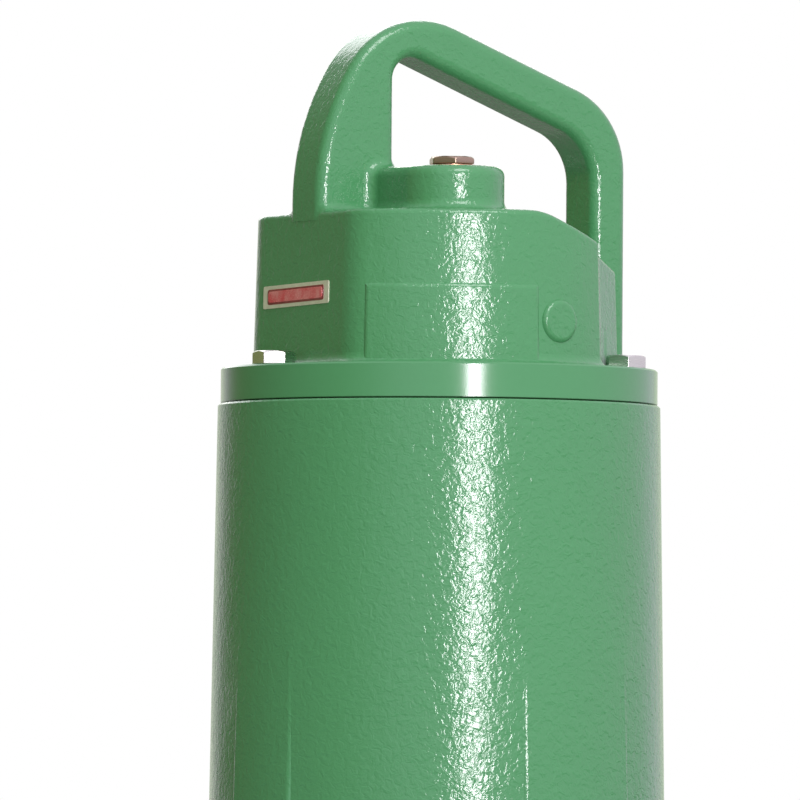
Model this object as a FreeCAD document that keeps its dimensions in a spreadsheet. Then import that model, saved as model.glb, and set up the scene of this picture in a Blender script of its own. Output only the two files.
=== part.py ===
"""Submersible sewage pump: a green cast iron motor barrel with its lifting handle, over a spiral
pump casing on a four-legged stand. Millimetres, +Z up the motor axis, origin at the suction mouth,
discharge towards -X and cable gland towards +Y."""
import FreeCAD
import Part
import math
import os
import re
import Sketcher

V = FreeCAD.Vector

# Driving dimensions, each an independent size of the pump
SIZES = {
    # clearances
    "fit_gap": 0.05,
    "face_gap": 0.2,
    "wear_gap": 0.4,
    "air_gap": 0.6,
    # suction cover, wear ring and stand
    "suction_bore_radius": 40,
    "neck_radius": 54,
    "neck_height": 6,
    "suction_plate_radius": 84,
    "suction_plate_thickness": 12,
    "suction_spigot_radius": 62,
    "suction_screw_pitch": 73,
    "wear_ring_wall": 4.6,
    "wear_ring_height": 10,
    "stand_height": 75,
    "stand_ring_bore_radius": 90,
    "stand_ring_outer_radius": 126,
    "stand_ring_thickness": 12,
    "stand_screw_inset": 14,
    "leg_width": 34,
    "leg_thickness": 16,
    "leg_rake": 14,
    "foot_length": 52,
    "foot_thickness": 12,
    "foot_hole_radius": 7,
    # volute
    "volute_height": 94,
    "volute_wall": 11,
    "tongue_gap": 13,
    "spiral_growth": 14,
    "spiral_wall": 9,
    "volute_edge_radius": 20,
    "volute_mouth_radius": 86,
    "volute_flange_radius": 124,
    "volute_flange_thickness": 12,
    "volute_screw_margin": 10,
    "nozzle_bore_radius": 32.5,
    "nozzle_wall": 9,
    "nozzle_reach": 190,
    "nozzle_flange_radius": 92.5,
    "nozzle_flange_thickness": 18,
    "nozzle_bolt_circle_diameter": 145,
    "nozzle_hole_radius": 9,
    "stand_lug_radius": 15,
    "stand_lug_height": 28,
    # impeller
    "impeller_radius": 75,
    "impeller_eye_radius": 38,
    "impeller_neck_wall": 4,
    "impeller_outlet_height": 32,
    "shroud_thickness": 6,
    "impeller_hub_radius": 22,
    "impeller_hub_length": 35,
    "vane_count": 3,
    "vane_arc_radius": 50,
    "vane_arc_offset": 36,
    "vane_thickness": 6,
    "vane_tip_angle": 62,
    "vane_root_angle": 147,
    # oil chamber and seals
    "seal_housing_height": 58,
    "oil_wall": 10,
    "seal_flange_thickness": 12,
    "bracket_land": 15,
    "seal_seat_radius": 22,
    "seal_seat_height": 9,
    "seal_lip_radius": 16,
    "seal_lip_height": 3,
    "seal_ring_radius": 21,
    "seal_ring_height": 7,
    "seal_shaft_radius": 14,
    "spring_wire_radius": 1.25,
    "spring_turns": 4,
    "oil_plug_thread": 8,
    "oil_plug_width": 17,
    "plug_boss_height": 4,
    # lower bearing carrier
    "bracket_plate_thickness": 12,
    "bracket_spigot_depth": 8,
    "bracket_hub_radius": 46,
    "bracket_seat_level": 10,
    "bracket_screw_depth": 14,
    "bracket_hub_height": 30,
    "seal_boss_radius": 30,
    "seal_boss_depth": 14,
    # motor housing
    "motor_housing_height": 300,
    "barrel_proud": 1.3,
    "barrel_wall": 8.3,
    "housing_draft": 0.87,
    "jacket_gap": 10,
    "sleeve_wall": 7,
    "sleeve_bottom": 35,
    "jacket_top": 40,
    "ledge_depth": 30,
    "housing_thread_depth": 20,
    "housing_screw_grip": 16,
    "band_width": 35,
    "side_band_width": 24,
    "band_angle": 9,
    "band_rise": 110,
    "band_proud": 2.6,
    "band_root": 6,
    "band_edge_radius": 3,
    # motor
    "core_bottom": 65,
    "core_top": 85,
    "rotor_share": 0.592,
    "slot_count": 24,
    "slot_depth": 18,
    "slot_width": 5,
    "winding_share": 0.66,
    "winding_inset": 4,
    "winding_height": 26,
    "end_ring_share": 0.62,
    "end_ring_height": 10,
    # shaft
    "shaft_core_radius": 19,
    "shaft_nose_radius": 11,
    "impeller_screw_thread": 10,
    "impeller_screw_length": 24,
    "impeller_screw_width": 17,
    "key_width": 6,
    "key_length": 22,
    # lower ball bearing
    "lower_bearing_bore": 30,
    "lower_bearing_outside": 72,
    "lower_bearing_width": 19,
    "lower_ball_diameter": 12.3,
    "lower_ball_count": 8,
    # upper ball bearing
    "upper_bearing_bore": 25,
    "upper_bearing_outside": 62,
    "upper_bearing_width": 17,
    "upper_ball_diameter": 11.5,
    "upper_ball_count": 7,
    "ball_gap": 0.15,
    "circlip_thickness": 1.5,
    "circlip_depth": 0.8,
    "circlip_height": 3,
    "wave_washer_thickness": 2.4,
    # upper bearing carrier and terminal board
    "carrier_thickness": 12,
    "carrier_hub_radius": 42,
    "carrier_seat_drop": 13,
    "carrier_hub_drop": 12,
    "terminal_board_radius": 42,
    "terminal_board_thickness": 12,
    "terminal_pitch": 27,
    "terminal_stud_radius": 2.5,
    "terminal_stud_height": 20,
    "terminal_nut_width": 8,
    # motor cover
    "cover_flange_radius": 100,
    "cover_flange_thickness": 16.5,
    "cover_edge_chamfer": 0.8,
    "cover_land": 21,
    "cover_spigot_wall": 9,
    "cover_screw_margin": 13,
    "cover_screw_angle": 42,
    "head_height": 70,
    "head_step": 14.3,
    "head_flat_depth": 12.3,
    "head_draft": 1.6,
    "head_corner_radius": 22,
    "head_edge_radius": 2.5,
    "head_slope_start": 5.5,
    "head_slope": 20.5,
    "ridge_radius": 40,
    "recess_depth": 10.45,
    "recess_side": 4.6,
    "recess_opening": 17,
    "recess_radius": 8,
    "facet_reach": 7.4,
    "facet_side": 19.4,
    "head_cavity_radius": 61.5,
    "head_cavity_height": 38,
    "pad_start_angle": 216,
    "pad_sweep": 56,
    "pad_height": 36.5,
    "pad_proud": 1,
    "pad_edge_radius": 2.5,
    "pad_root": 12,
    "round_pad_angle": 279.6,
    "round_pad_radius": 10,
    "round_pad_height": 19.8,
    "round_pad_proud": 1.6,
    "boss_width": 48,
    "boss_height": 20.4,
    "boss_inset": 12,
    "boss_front": 44.6,
    "boss_back": 22,
    "boss_edge_radius": 4.5,
    "flange_seam_radius": 5,
    "boss_seam_radius": 5,
    # lifting handle
    "handle_thickness": 28.5,
    "handle_edge_radius": 5,
    "handle_left_inset": 1.5,
    "handle_left_width": 39.9,
    "handle_left_rise": 74.5,
    "handle_left_radius": 119,
    "handle_peak": 159.1,
    "handle_crown_radius": 44.5,
    "handle_slope": 21.6,
    "handle_bar": 20.7,
    "handle_right_margin": 8.7,
    "handle_right_width": 18,
    "handle_corner_radius": 40,
    "handle_inner_radius": 25,
    "handle_notch_radius": 10.5,
    "web_run": 6.25,
    "web_start": 38,
    "web_rise": 8,
    # plug and cable gland
    "plug_width": 19,
    "plug_height": 3.9,
    "plug_thread": 13,
    "plug_length": 16,
    "plug_washer_radius": 11.5,
    "plug_washer_thickness": 0.7,
    "gland_level": 35,
    "gland_boss_radius": 25,
    "gland_boss_proud": 12.3,
    "gland_seat_depth": 26,
    "gland_seat_radius": 17,
    "gland_way_radius": 11,
    "gland_bush_length": 16,
    "gland_cable_radius": 7.5,
    "gland_washer_thickness": 2,
    "gland_nut_width": 46,
    "gland_nut_height": 12,
    # screws and seals
    "coarse_thread_diameter": 10,
    "coarse_head_width": 17,
    "coarse_head_height": 6.4,
    "fine_thread_diameter": 8,
    "fine_head_width": 13,
    "fine_head_height": 5.3,
    "small_thread_diameter": 6,
    "small_head_width": 10,
    "small_head_height": 4,
    "hole_clearance": 1,
    "ring_section": 1.5,
    "ring_gap": 0.1,
}

doc = FreeCAD.newDocument("submersible_pump")
pieces = []
sheet = doc.addObject("Spreadsheet::Sheet", "dims")
for row, (name, size) in enumerate(SIZES.items(), 1):
    sheet.set(f"A{row}", name)
    sheet.set(f"B{row}", str(size))
    sheet.setAlias(f"B{row}", name)
doc.recompute()


def bind(text):
    """The expression text with each size's name pointing at its cell."""
    return re.sub(r"[a-z][a-z_]*", lambda word: f"dims.{word[0]}" if word[0] in SIZES else word[0], str(text))


def value(text):
    """The number that an expression comes to."""
    return float(sheet.evalExpression(bind(text)))


def new_body(node, many=False, piece=True):
    """A body; a piece of its own goes on the list of what is exported."""
    body = doc.addObject("PartDesign::Body", node)
    body.Label = node
    body.AllowCompound = many
    if piece:
        pieces.append(body)
    return body


def origin(body, role):
    return next(feature for feature in body.Origin.OriginFeatures if feature.Role == role)


def sketch(body, name, role="XZ_Plane", offset=None):
    """A sketch on one of the body's own origin planes, moved along the plane's normal."""
    result = body.newObject("Sketcher::SketchObject", name)
    result.AttachmentSupport = [(origin(body, role), "")]
    result.MapMode = "FlatFace"
    if offset is not None:
        result.setExpression("AttachmentOffset.Base.z", bind(offset))
    return result


def fix(profile, kind, *where, size):
    """A driving constraint of a sketch, bound to an expression."""
    index = profile.addConstraint(Sketcher.Constraint(kind, *where, value(size)))
    profile.setExpression(f"Constraints[{index}]", bind(size))


def place(profile, item, corner, x, y):
    """Holds one point of a sketch at x, y from the origin."""
    for kind, axis, size in (("DistanceX", -2, x), ("DistanceY", -1, y)):
        if str(size) == "0":
            profile.addConstraint(Sketcher.Constraint("PointOnObject", item, corner, axis))
        else:
            fix(profile, kind, -1, 1, item, corner, size=size)


def polygon(profile, points):
    """A closed outline of straight lines through the points."""
    places = [V(value(x), value(y), 0) for x, y in points]
    first = profile.GeometryCount
    count = len(places)
    lines = [Part.LineSegment(places[i], places[(i + 1) % count]) for i in range(count)]
    profile.addGeometry(lines, False)
    joins = [Sketcher.Constraint("Coincident", first + i, 2, first + (i + 1) % count, 1)
             for i in range(count)]
    profile.addConstraint(joins)
    for i, (x, y) in enumerate(points):
        place(profile, first + i, 1, x, y)


def circle(profile, x, y, radius):
    item = profile.addGeometry(Part.Circle(V(value(x), value(y), 0), V(0, 0, 1), value(radius)), False)
    place(profile, item, 3, x, y)
    fix(profile, "Radius", item, size=radius)


def hexagon(profile, x, y, width):
    corners = []
    for turn in range(6):
        angle = 60 * turn + 30
        corners.append((f"{x} + {width} / 1.7320508 * cos({angle})",
                        f"{y} + {width} / 1.7320508 * sin({angle})"))
    polygon(profile, corners)


def turn(body, name, points, sweep=None, start=None):
    """A solid turned about Z from a profile of radius and height, all round or by an angle."""
    profile = sketch(body, name + "_profile")
    if start is not None:
        profile.AttachmentOffset = FreeCAD.Placement(V(0, 0, 0), FreeCAD.Rotation(V(0, 1, 0), value(start)))
        profile.setExpression("AttachmentOffset.Rotation.Angle", bind(start))
    polygon(profile, points)
    feature = body.newObject("PartDesign::Revolution", name)
    feature.Profile = profile
    feature.ReferenceAxis = (profile, ["V_Axis"])
    feature.Angle = 360
    if sweep is not None:
        feature.setExpression("Angle", bind(sweep))
    return feature


def turned(node, points):
    """A whole piece turned about Z."""
    body = new_body(node)
    turn(body, node + "_turned", points)
    return body


def extrude(body, name, profile, length, kind="Pad", back=False, taper=None):
    feature = body.newObject("PartDesign::" + kind, name)
    feature.Profile = profile
    feature.Reversed = back
    feature.setExpression("Length", bind(length))
    if taper is not None:
        feature.setExpression("TaperAngle", bind(taper))
    return feature


def disc(body, name, x, y, radius, level, length, kind="Pad", back=False, role="XY_Plane"):
    """A round pad or pocket on a plane at a level along its normal."""
    profile = sketch(body, name + "_circle", role, level)
    circle(profile, x, y, radius)
    return extrude(body, name, profile, length, kind, back)


def pattern(body, name, features, count, spread="360", role="Z_Axis"):
    feature = body.newObject("PartDesign::PolarPattern", name)
    feature.Originals = features
    feature.Axis = (origin(body, role), [""])
    feature.setExpression("Occurrences", bind(count))
    feature.setExpression("Angle", bind(spread))
    body.Tip = feature
    return feature


def hex_screws(node, pitch, seat, length, thread, width, height, count, up=True, start="0", spread="360"):
    """Hexagon head screws round Z: the head stands on the seat level and the shank goes into the work."""
    body = new_body(node, many=True)
    body.setExpression("Placement.Rotation.Angle", bind(start))
    head_profile = sketch(body, node + "_hexagon", "XY_Plane", seat)
    hexagon(head_profile, pitch, "0", width)
    head = extrude(body, node + "_head", head_profile, height, back=not up)
    shank = disc(body, node + "_shank", pitch, "0", f"{thread} / 2", seat, length, back=up)
    sign = "+" if up else "-"
    trim = sketch(body, node + "_trim")
    outside = f"{pitch} + {width} * 0.7"
    polygon(trim, ((f"{pitch} + {width} * 0.46", f"{seat} {sign} {height}"),
                   (outside, f"{seat} {sign} {height}"),
                   (outside, f"{seat} {sign} ({height} - {width} * 0.13)")))
    axis_line = trim.addGeometry(Part.LineSegment(V(value(pitch), 0, 0), V(value(pitch), 10, 0)), True)
    trim.addConstraint(Sketcher.Constraint("Vertical", axis_line))
    place(trim, axis_line, 1, pitch, "0")
    groove = body.newObject("PartDesign::Groove", node + "_chamfer")
    groove.Profile = trim
    groove.ReferenceAxis = (trim, ["Axis0"])
    groove.Angle = 360
    pattern(body, node + "_ring", [head, shank, groove], count, spread)
    return body


def torus(node, ring, level):
    """A rubber ring of round section round Z."""
    body = new_body(node)
    profile = sketch(body, node + "_section")
    circle(profile, ring, level, "ring_section")
    feature = body.newObject("PartDesign::Revolution", node + "_turned")
    feature.Profile = profile
    feature.ReferenceAxis = (profile, ["V_Axis"])
    feature.Angle = 360
    return body


# Levels up the axis, each the sum of the heights below it
Z_VOLUTE = "(neck_height + suction_plate_thickness)"
Z_NOZZLE = f"({Z_VOLUTE} + volute_height / 2)"
Z_SEAL = f"({Z_VOLUTE} + volute_height)"
Z_MOTOR = f"({Z_SEAL} + seal_housing_height)"
Z_COVER = f"({Z_MOTOR} + motor_housing_height)"
Z_FLANGE = f"({Z_COVER} + cover_flange_thickness)"
Z_HEAD = f"({Z_FLANGE} + head_height)"
Z_BOSS = f"({Z_HEAD} + boss_height)"
Z_LOWER = f"({Z_MOTOR} + bracket_seat_level)"
Z_CORE = f"({Z_MOTOR} + core_bottom)"
Z_CARRIER = f"({Z_COVER} - ledge_depth)"
Z_UPPER = f"({Z_CARRIER} - carrier_seat_drop)"

# Radii and lengths that follow from the pieces they fit
CORE_LENGTH = "(motor_housing_height - core_bottom - core_top)"
HOUSING_TOP = "(cover_flange_radius + barrel_proud)"
HOUSING_BOTTOM = f"({HOUSING_TOP} + motor_housing_height * tan(housing_draft))"
SKIRT_BORE = f"({HOUSING_TOP} - barrel_wall)"
SLEEVE_OUTER = f"({SKIRT_BORE} - jacket_gap)"
STATOR = f"({SLEEVE_OUTER} - sleeve_wall)"
WINDING_OUTER = f"({STATOR} - winding_inset)"
WINDING_INNER = f"({STATOR} * winding_share)"
ROTOR = f"({STATOR} * rotor_share)"
END_RING_BORE = f"({ROTOR} * end_ring_share)"
OIL_CHAMBER = f"({SKIRT_BORE} - bracket_land)"
SEAL_HOUSING = f"({OIL_CHAMBER} + oil_wall)"
BRACKET_PITCH = f"(({OIL_CHAMBER} + {SKIRT_BORE}) / 2)"
HOUSING_PITCH = f"(({SKIRT_BORE} + {HOUSING_BOTTOM}) / 2)"
COVER_SPIGOT = "(cover_flange_radius - cover_land)"
COVER_PITCH = "(cover_flange_radius - cover_screw_margin)"
SCREW_X = f"({COVER_PITCH} * cos(cover_screw_angle))"
SCREW_Y = f"({COVER_PITCH} * sin(cover_screw_angle))"
HEAD_RADIUS = "(cover_flange_radius - head_step)"
HEAD_FLAT = f"({HEAD_RADIUS} - head_flat_depth)"
HEAD_END = f"({SCREW_X} + facet_reach)"
STAND_PITCH = "(stand_ring_outer_radius - stand_screw_inset)"
RECESS_X = f"({SCREW_X} - recess_depth)"
RECESS_Y = f"({SCREW_Y} - recess_side)"
RECESS_EDGE = f"({SCREW_Y} + recess_opening)"
FACET_Y = f"({SCREW_Y} - facet_side)"
HANDLE_LEFT = f"({HEAD_FLAT} - handle_left_inset)"
HANDLE_LEFT_INNER = f"({HANDLE_LEFT} - handle_left_width)"
BOSS_OFFSET = f"({HANDLE_LEFT_INNER} - boss_inset)"
HANDLE_RIGHT = "(cover_flange_radius - handle_right_margin)"
GLAND_REACH = f"({HEAD_RADIUS} + gland_boss_proud)"
IMPELLER_NECK = "(impeller_eye_radius + impeller_neck_wall)"
WEAR_RING = f"({IMPELLER_NECK} + wear_gap + wear_ring_wall)"
SPIRAL_START = "(impeller_radius + tongue_gap)"
VOLUTE_PITCH = "(volute_flange_radius - volute_screw_margin)"
GROOVE_DEPTH = "(2 * ring_section + 2 * ring_gap)"
GROOVE_WIDTH = "(2 * ring_section + 2 * ring_gap)"


def suction_cover():
    """Bottom cover with the suction mouth, a spigot for the casing and a seat for the wear ring."""
    top = f"({Z_VOLUTE} + volute_wall)"
    ring_seat = f"({top} - wear_ring_height)"
    spigot = "(suction_spigot_radius - fit_gap)"
    body = new_body("suction_cover")
    turn(body, "suction_cover_turned", (
        ("suction_bore_radius", "0"),
        ("neck_radius", "0"),
        ("neck_radius", "neck_height"),
        ("suction_plate_radius", "neck_height"),
        ("suction_plate_radius", Z_VOLUTE),
        (f"{spigot} - {GROOVE_DEPTH}", Z_VOLUTE),
        (f"{spigot} - {GROOVE_DEPTH}", f"{Z_VOLUTE} + {GROOVE_WIDTH}"),
        (spigot, f"{Z_VOLUTE} + {GROOVE_WIDTH}"),
        (spigot, top),
        (f"{WEAR_RING} + fit_gap", top),
        (f"{WEAR_RING} + fit_gap", ring_seat),
        ("suction_bore_radius", ring_seat)))
    hole = disc(body, "screw_hole", "suction_screw_pitch", "0", "(fine_thread_diameter + hole_clearance) / 2",
                "neck_height", "suction_plate_thickness", "Pocket", back=True)
    pattern(body, "screw_holes", [hole], "6")
    inner = f"{IMPELLER_NECK} + wear_gap"
    turned("wear_ring", ((inner, ring_seat), (WEAR_RING, ring_seat), (WEAR_RING, top),
                         (inner, top)))
    torus("suction_seal_ring", f"{spigot} - {GROOVE_DEPTH} / 2",
          f"{Z_VOLUTE} + {GROOVE_WIDTH} / 2")
    hex_screws("suction_cover_screws", "suction_screw_pitch", "neck_height",
               "suction_plate_thickness + volute_wall - 3", "fine_thread_diameter", "fine_head_width",
               "fine_head_height", "6", up=False)


def spiral(profile, wall):
    """The casing's four-arc spiral, its radius growing by the same step at each quarter."""
    half = value("spiral_growth") / 2
    centres = (V(-half, -half, 0), V(half, -half, 0), V(half, half, 0), V(-half, half, 0))
    arcs = []
    for quarter, centre in enumerate(centres):
        size = f"{SPIRAL_START} + {quarter} * spiral_growth + {wall}"
        start = math.radians(90 + 90 * quarter)
        ring = Part.Circle(centre, V(0, 0, 1), value(size))
        item = profile.addGeometry(Part.ArcOfCircle(ring, start, start + math.pi / 2), False)
        fix(profile, "Radius", item, size=size)
        arcs.append(item)
    place(profile, arcs[0], 3, "-spiral_growth / 2", "-spiral_growth / 2")
    for before, after in zip(arcs, arcs[1:]):
        profile.addConstraint(Sketcher.Constraint("Tangent", before, 2, after, 1))
    profile.addConstraint(Sketcher.Constraint("Vertical", arcs[0], 3, arcs[0], 1))
    for item, kind in zip(arcs, ("Horizontal", "Vertical", "Horizontal", "Vertical")):
        profile.addConstraint(Sketcher.Constraint(kind, item, 3, item, 2))
    start_point = profile.getPoint(arcs[3], 2)
    end_point = profile.getPoint(arcs[0], 1)
    step = profile.addGeometry(Part.LineSegment(start_point, end_point), False)
    profile.addConstraint([Sketcher.Constraint("Coincident", arcs[3], 2, step, 1),
                           Sketcher.Constraint("Coincident", step, 2, arcs[0], 1)])


def volute():
    """Spiral casing with its tangential discharge nozzle, the main casting of the wet end."""
    body = new_body("volute")
    outline = sketch(body, "casing_outline", "XY_Plane", Z_VOLUTE)
    spiral(outline, "spiral_wall")
    casing = extrude(body, "casing", outline, "volute_height")
    doc.recompute()
    rims = []
    for number, edge in enumerate(casing.Shape.Edges, 1):
        is_arc = isinstance(edge.Curve, Part.Circle)
        if is_arc and edge.BoundBox.ZLength < 0.01:
            rims.append(f"Edge{number}")
    rounded = body.newObject("PartDesign::Fillet", "casing_rounding")
    rounded.Base = (casing, rims)
    rounded.setExpression("Radius", bind("volute_edge_radius"))
    nozzle_y = f"{SPIRAL_START} + 3.5 * spiral_growth - nozzle_bore_radius"
    disc(body, "nozzle", nozzle_y, Z_NOZZLE, "nozzle_bore_radius + nozzle_wall", "-nozzle_reach",
         "nozzle_reach - spiral_growth / 2", role="YZ_Plane")
    disc(body, "nozzle_flange", nozzle_y, Z_NOZZLE, "nozzle_flange_radius", "-nozzle_reach",
         "nozzle_flange_thickness", role="YZ_Plane")
    disc(body, "top_flange", "0", "0", "volute_flange_radius", Z_SEAL, "volute_flange_thickness", back=True)
    disc(body, "bottom_plate", "0", "0", "suction_plate_radius + 6", Z_VOLUTE, "volute_wall")
    corner = f"{STAND_PITCH} * cos(45)"
    lug = disc(body, "stand_lug", corner, corner, "stand_lug_radius", Z_VOLUTE, "stand_lug_height")
    pattern(body, "stand_lugs", [lug], "4")
    cavity = sketch(body, "cavity_outline", "XY_Plane", f"{Z_VOLUTE} + volute_wall")
    spiral(cavity, "0")
    extrude(body, "cavity", cavity, "volute_height - 2 * volute_wall", "Pocket", back=True)
    disc(body, "nozzle_bore", nozzle_y, Z_NOZZLE, "nozzle_bore_radius", "-nozzle_reach",
         "nozzle_reach - spiral_growth / 2", "Pocket", back=True, role="YZ_Plane")
    disc(body, "mouth", "0", "0", "volute_mouth_radius", Z_SEAL, "volute_wall", "Pocket")
    disc(body, "suction_opening", "0", "0", "suction_spigot_radius", Z_VOLUTE, "volute_wall", "Pocket",
         back=True)
    disc(body, "flange_hole", f"{nozzle_y} + nozzle_bolt_circle_diameter / 2 * cos(45)",
         f"{Z_NOZZLE} + nozzle_bolt_circle_diameter / 2 * sin(45)", "nozzle_hole_radius",
         "-nozzle_reach", "nozzle_flange_thickness", "Pocket", back=True, role="YZ_Plane")
    for count, (y_sign, z_sign) in enumerate((("-", "+"), ("-", "-"), ("+", "-")), 2):
        disc(body, f"flange_hole_{count}", f"{nozzle_y} {y_sign} nozzle_bolt_circle_diameter / 2 * cos(45)",
             f"{Z_NOZZLE} {z_sign} nozzle_bolt_circle_diameter / 2 * sin(45)", "nozzle_hole_radius",
             "-nozzle_reach", "nozzle_flange_thickness", "Pocket", back=True, role="YZ_Plane")
    tapped = disc(body, "flange_thread", VOLUTE_PITCH, "0", "coarse_thread_diameter / 2 + fit_gap", Z_SEAL,
                  "volute_flange_thickness", "Pocket")
    pattern(body, "flange_threads", [tapped], "6")
    tapped = disc(body, "cover_thread", "suction_screw_pitch", "0", "fine_thread_diameter / 2 + fit_gap",
                  Z_VOLUTE, "volute_wall - 2", "Pocket", back=True)
    pattern(body, "cover_threads", [tapped], "6")
    tapped = disc(body, "lug_thread", corner, corner, "coarse_thread_diameter / 2 + fit_gap", Z_VOLUTE,
                  "stand_lug_height - 6", "Pocket", back=True)
    pattern(body, "lug_threads", [tapped], "4")
    hex_screws("volute_screws", VOLUTE_PITCH, f"({Z_SEAL} + seal_flange_thickness)",
               "seal_flange_thickness + volute_flange_thickness - 2", "coarse_thread_diameter",
               "coarse_head_width", "coarse_head_height", "6")


def stand():
    """Cast stand: a ring screwed under the casing and four raked legs with drilled feet."""
    body = new_body("stand")
    ring_low = f"({Z_VOLUTE} - stand_ring_thickness)"
    turn(body, "stand_ring", (("stand_ring_bore_radius", ring_low), ("stand_ring_outer_radius", ring_low),
                              ("stand_ring_outer_radius", Z_VOLUTE), ("stand_ring_bore_radius", Z_VOLUTE)))
    outline = sketch(body, "leg_outline")
    inside = "stand_ring_outer_radius - leg_thickness"
    polygon(outline, ((inside, f"{ring_low} + 4"), (inside, ring_low),
                      (f"{inside} + leg_rake", "foot_thickness - stand_height"),
                      (f"{inside} + leg_rake", "-stand_height"),
                      (f"{inside} + leg_rake + foot_length", "-stand_height"),
                      (f"{inside} + leg_rake + foot_length", "foot_thickness - stand_height"),
                      ("stand_ring_outer_radius + leg_rake", "foot_thickness - stand_height"),
                      ("stand_ring_outer_radius", ring_low), ("stand_ring_outer_radius", f"{ring_low} + 4")))
    leg = body.newObject("PartDesign::Pad", "leg")
    leg.Profile = outline
    leg.Midplane = True
    leg.setExpression("Length", bind("leg_width"))
    foot_middle = "stand_ring_outer_radius + leg_rake + (foot_length - leg_thickness) / 2"
    foot_hole = disc(body, "foot_hole", foot_middle, "0", "foot_hole_radius", "-stand_height",
                     "foot_thickness", "Pocket", back=True)
    pattern(body, "legs", [leg, foot_hole], "4")
    hole = disc(body, "ring_hole", f"{STAND_PITCH} * cos(45)", f"{STAND_PITCH} * sin(45)",
                "(coarse_thread_diameter + hole_clearance) / 2", ring_low, "stand_ring_thickness", "Pocket",
                back=True)
    pattern(body, "ring_holes", [hole], "4")
    hex_screws("stand_screws", STAND_PITCH, ring_low,
               "stand_ring_thickness + stand_lug_height - 8", "coarse_thread_diameter", "coarse_head_width",
               "coarse_head_height", "4", up=False, start="45")


def impeller():
    """Closed impeller: hub and back shroud, front shroud with its eye, and curved vanes between."""
    front = f"({Z_NOZZLE} - impeller_outlet_height / 2)"
    back = f"({Z_NOZZLE} + impeller_outlet_height / 2)"
    hub_top = f"({back} + shroud_thickness + 5)"
    hub_low = f"({hub_top} - impeller_hub_length)"
    body = new_body("impeller", many=True)
    turn(body, "back_shroud", (
        ("shaft_nose_radius + fit_gap", hub_low),
        ("shaft_nose_radius + 7", hub_low),
        ("impeller_hub_radius + 4", f"{hub_low} + 12"),
        ("impeller_radius * 0.56", f"{back} - 2"),
        ("impeller_radius", back),
        ("impeller_radius", f"{back} + shroud_thickness"),
        ("impeller_hub_radius + 8", f"{back} + shroud_thickness"),
        ("impeller_hub_radius", hub_top),
        ("shaft_nose_radius + fit_gap", hub_top)))
    neck_low = f"({Z_VOLUTE} + volute_wall - wear_ring_height)"
    turn(body, "front_shroud", (
        ("impeller_eye_radius", neck_low),
        (IMPELLER_NECK, neck_low),
        (IMPELLER_NECK, f"{front} - shroud_thickness - 6"),
        (f"{IMPELLER_NECK} + 6", f"{front} - shroud_thickness"),
        ("impeller_radius", f"{front} - shroud_thickness"),
        ("impeller_radius", front),
        ("impeller_eye_radius + 10", f"{front} - 2"),
        ("impeller_eye_radius", f"{front} - 10")))
    outline = sketch(body, "vane_outline", "XY_Plane", f"{front} - 4")
    centre = V(value("vane_arc_offset"), 0, 0)
    tip = math.radians(value("vane_tip_angle"))
    root = math.radians(value("vane_root_angle"))
    arcs = []
    for sign in ("-", "+"):
        size = f"vane_arc_radius {sign} vane_thickness / 2"
        ring = Part.Circle(centre, V(0, 0, 1), value(size))
        item = outline.addGeometry(Part.ArcOfCircle(ring, tip, root), False)
        place(outline, item, 3, "vane_arc_offset", "0")
        fix(outline, "Radius", item, size=size)
        arcs.append(item)
    for corner, angle in ((1, "vane_tip_angle"), (2, "vane_root_angle")):
        cap = outline.addGeometry(Part.LineSegment(outline.getPoint(arcs[0], corner),
                                                   outline.getPoint(arcs[1], corner)), False)
        outline.addConstraint([Sketcher.Constraint("Coincident", arcs[0], corner, cap, 1),
                               Sketcher.Constraint("Coincident", arcs[1], corner, cap, 2)])
        index = outline.addConstraint(Sketcher.Constraint("Angle", cap, math.radians(value(angle))))
        outline.setExpression(f"Constraints[{index}]", f"{bind(angle)} * 1deg")
    vane = extrude(body, "vane", outline, "impeller_outlet_height + 5")
    pattern(body, "vanes", [vane], "vane_count")
    key_half = "key_width / 2"
    slot = sketch(body, "key_slot_outline", "XY_Plane", hub_low)
    polygon(slot, (("shaft_nose_radius - 3", f"-{key_half}"), ("shaft_nose_radius + 3", f"-{key_half}"),
                   ("shaft_nose_radius + 3", key_half), ("shaft_nose_radius - 3", key_half)))
    extrude(body, "key_slot", slot, "impeller_hub_length", "Pocket", back=True)
    key = new_body("impeller_key")
    outline = sketch(key, "key_outline", "XY_Plane", f"{hub_low} + 6")
    edge = "(key_width / 2 - fit_gap)"
    polygon(outline, (("shaft_nose_radius - 3 + fit_gap", f"-{edge}"),
                      ("shaft_nose_radius + 3 - fit_gap", f"-{edge}"),
                      ("shaft_nose_radius + 3 - fit_gap", edge),
                      ("shaft_nose_radius - 3 + fit_gap", edge)))
    extrude(key, "key_bar", outline, "key_length")
    washer_low = f"({hub_low} - 3)"
    hole = "impeller_screw_thread / 2 + fit_gap"
    turned("impeller_washer", ((hole, washer_low), ("shaft_nose_radius + 6", washer_low),
                               ("shaft_nose_radius + 6", hub_low), (hole, hub_low)))
    screw = new_body("impeller_screw")
    outline = sketch(screw, "screw_hexagon", "XY_Plane", washer_low)
    hexagon(outline, "0", "0", "impeller_screw_width")
    extrude(screw, "screw_head", outline, "coarse_head_height", back=True)
    disc(screw, "screw_shank", "0", "0", "impeller_screw_thread / 2", washer_low, "impeller_screw_length")
    return hub_low, hub_top


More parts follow.
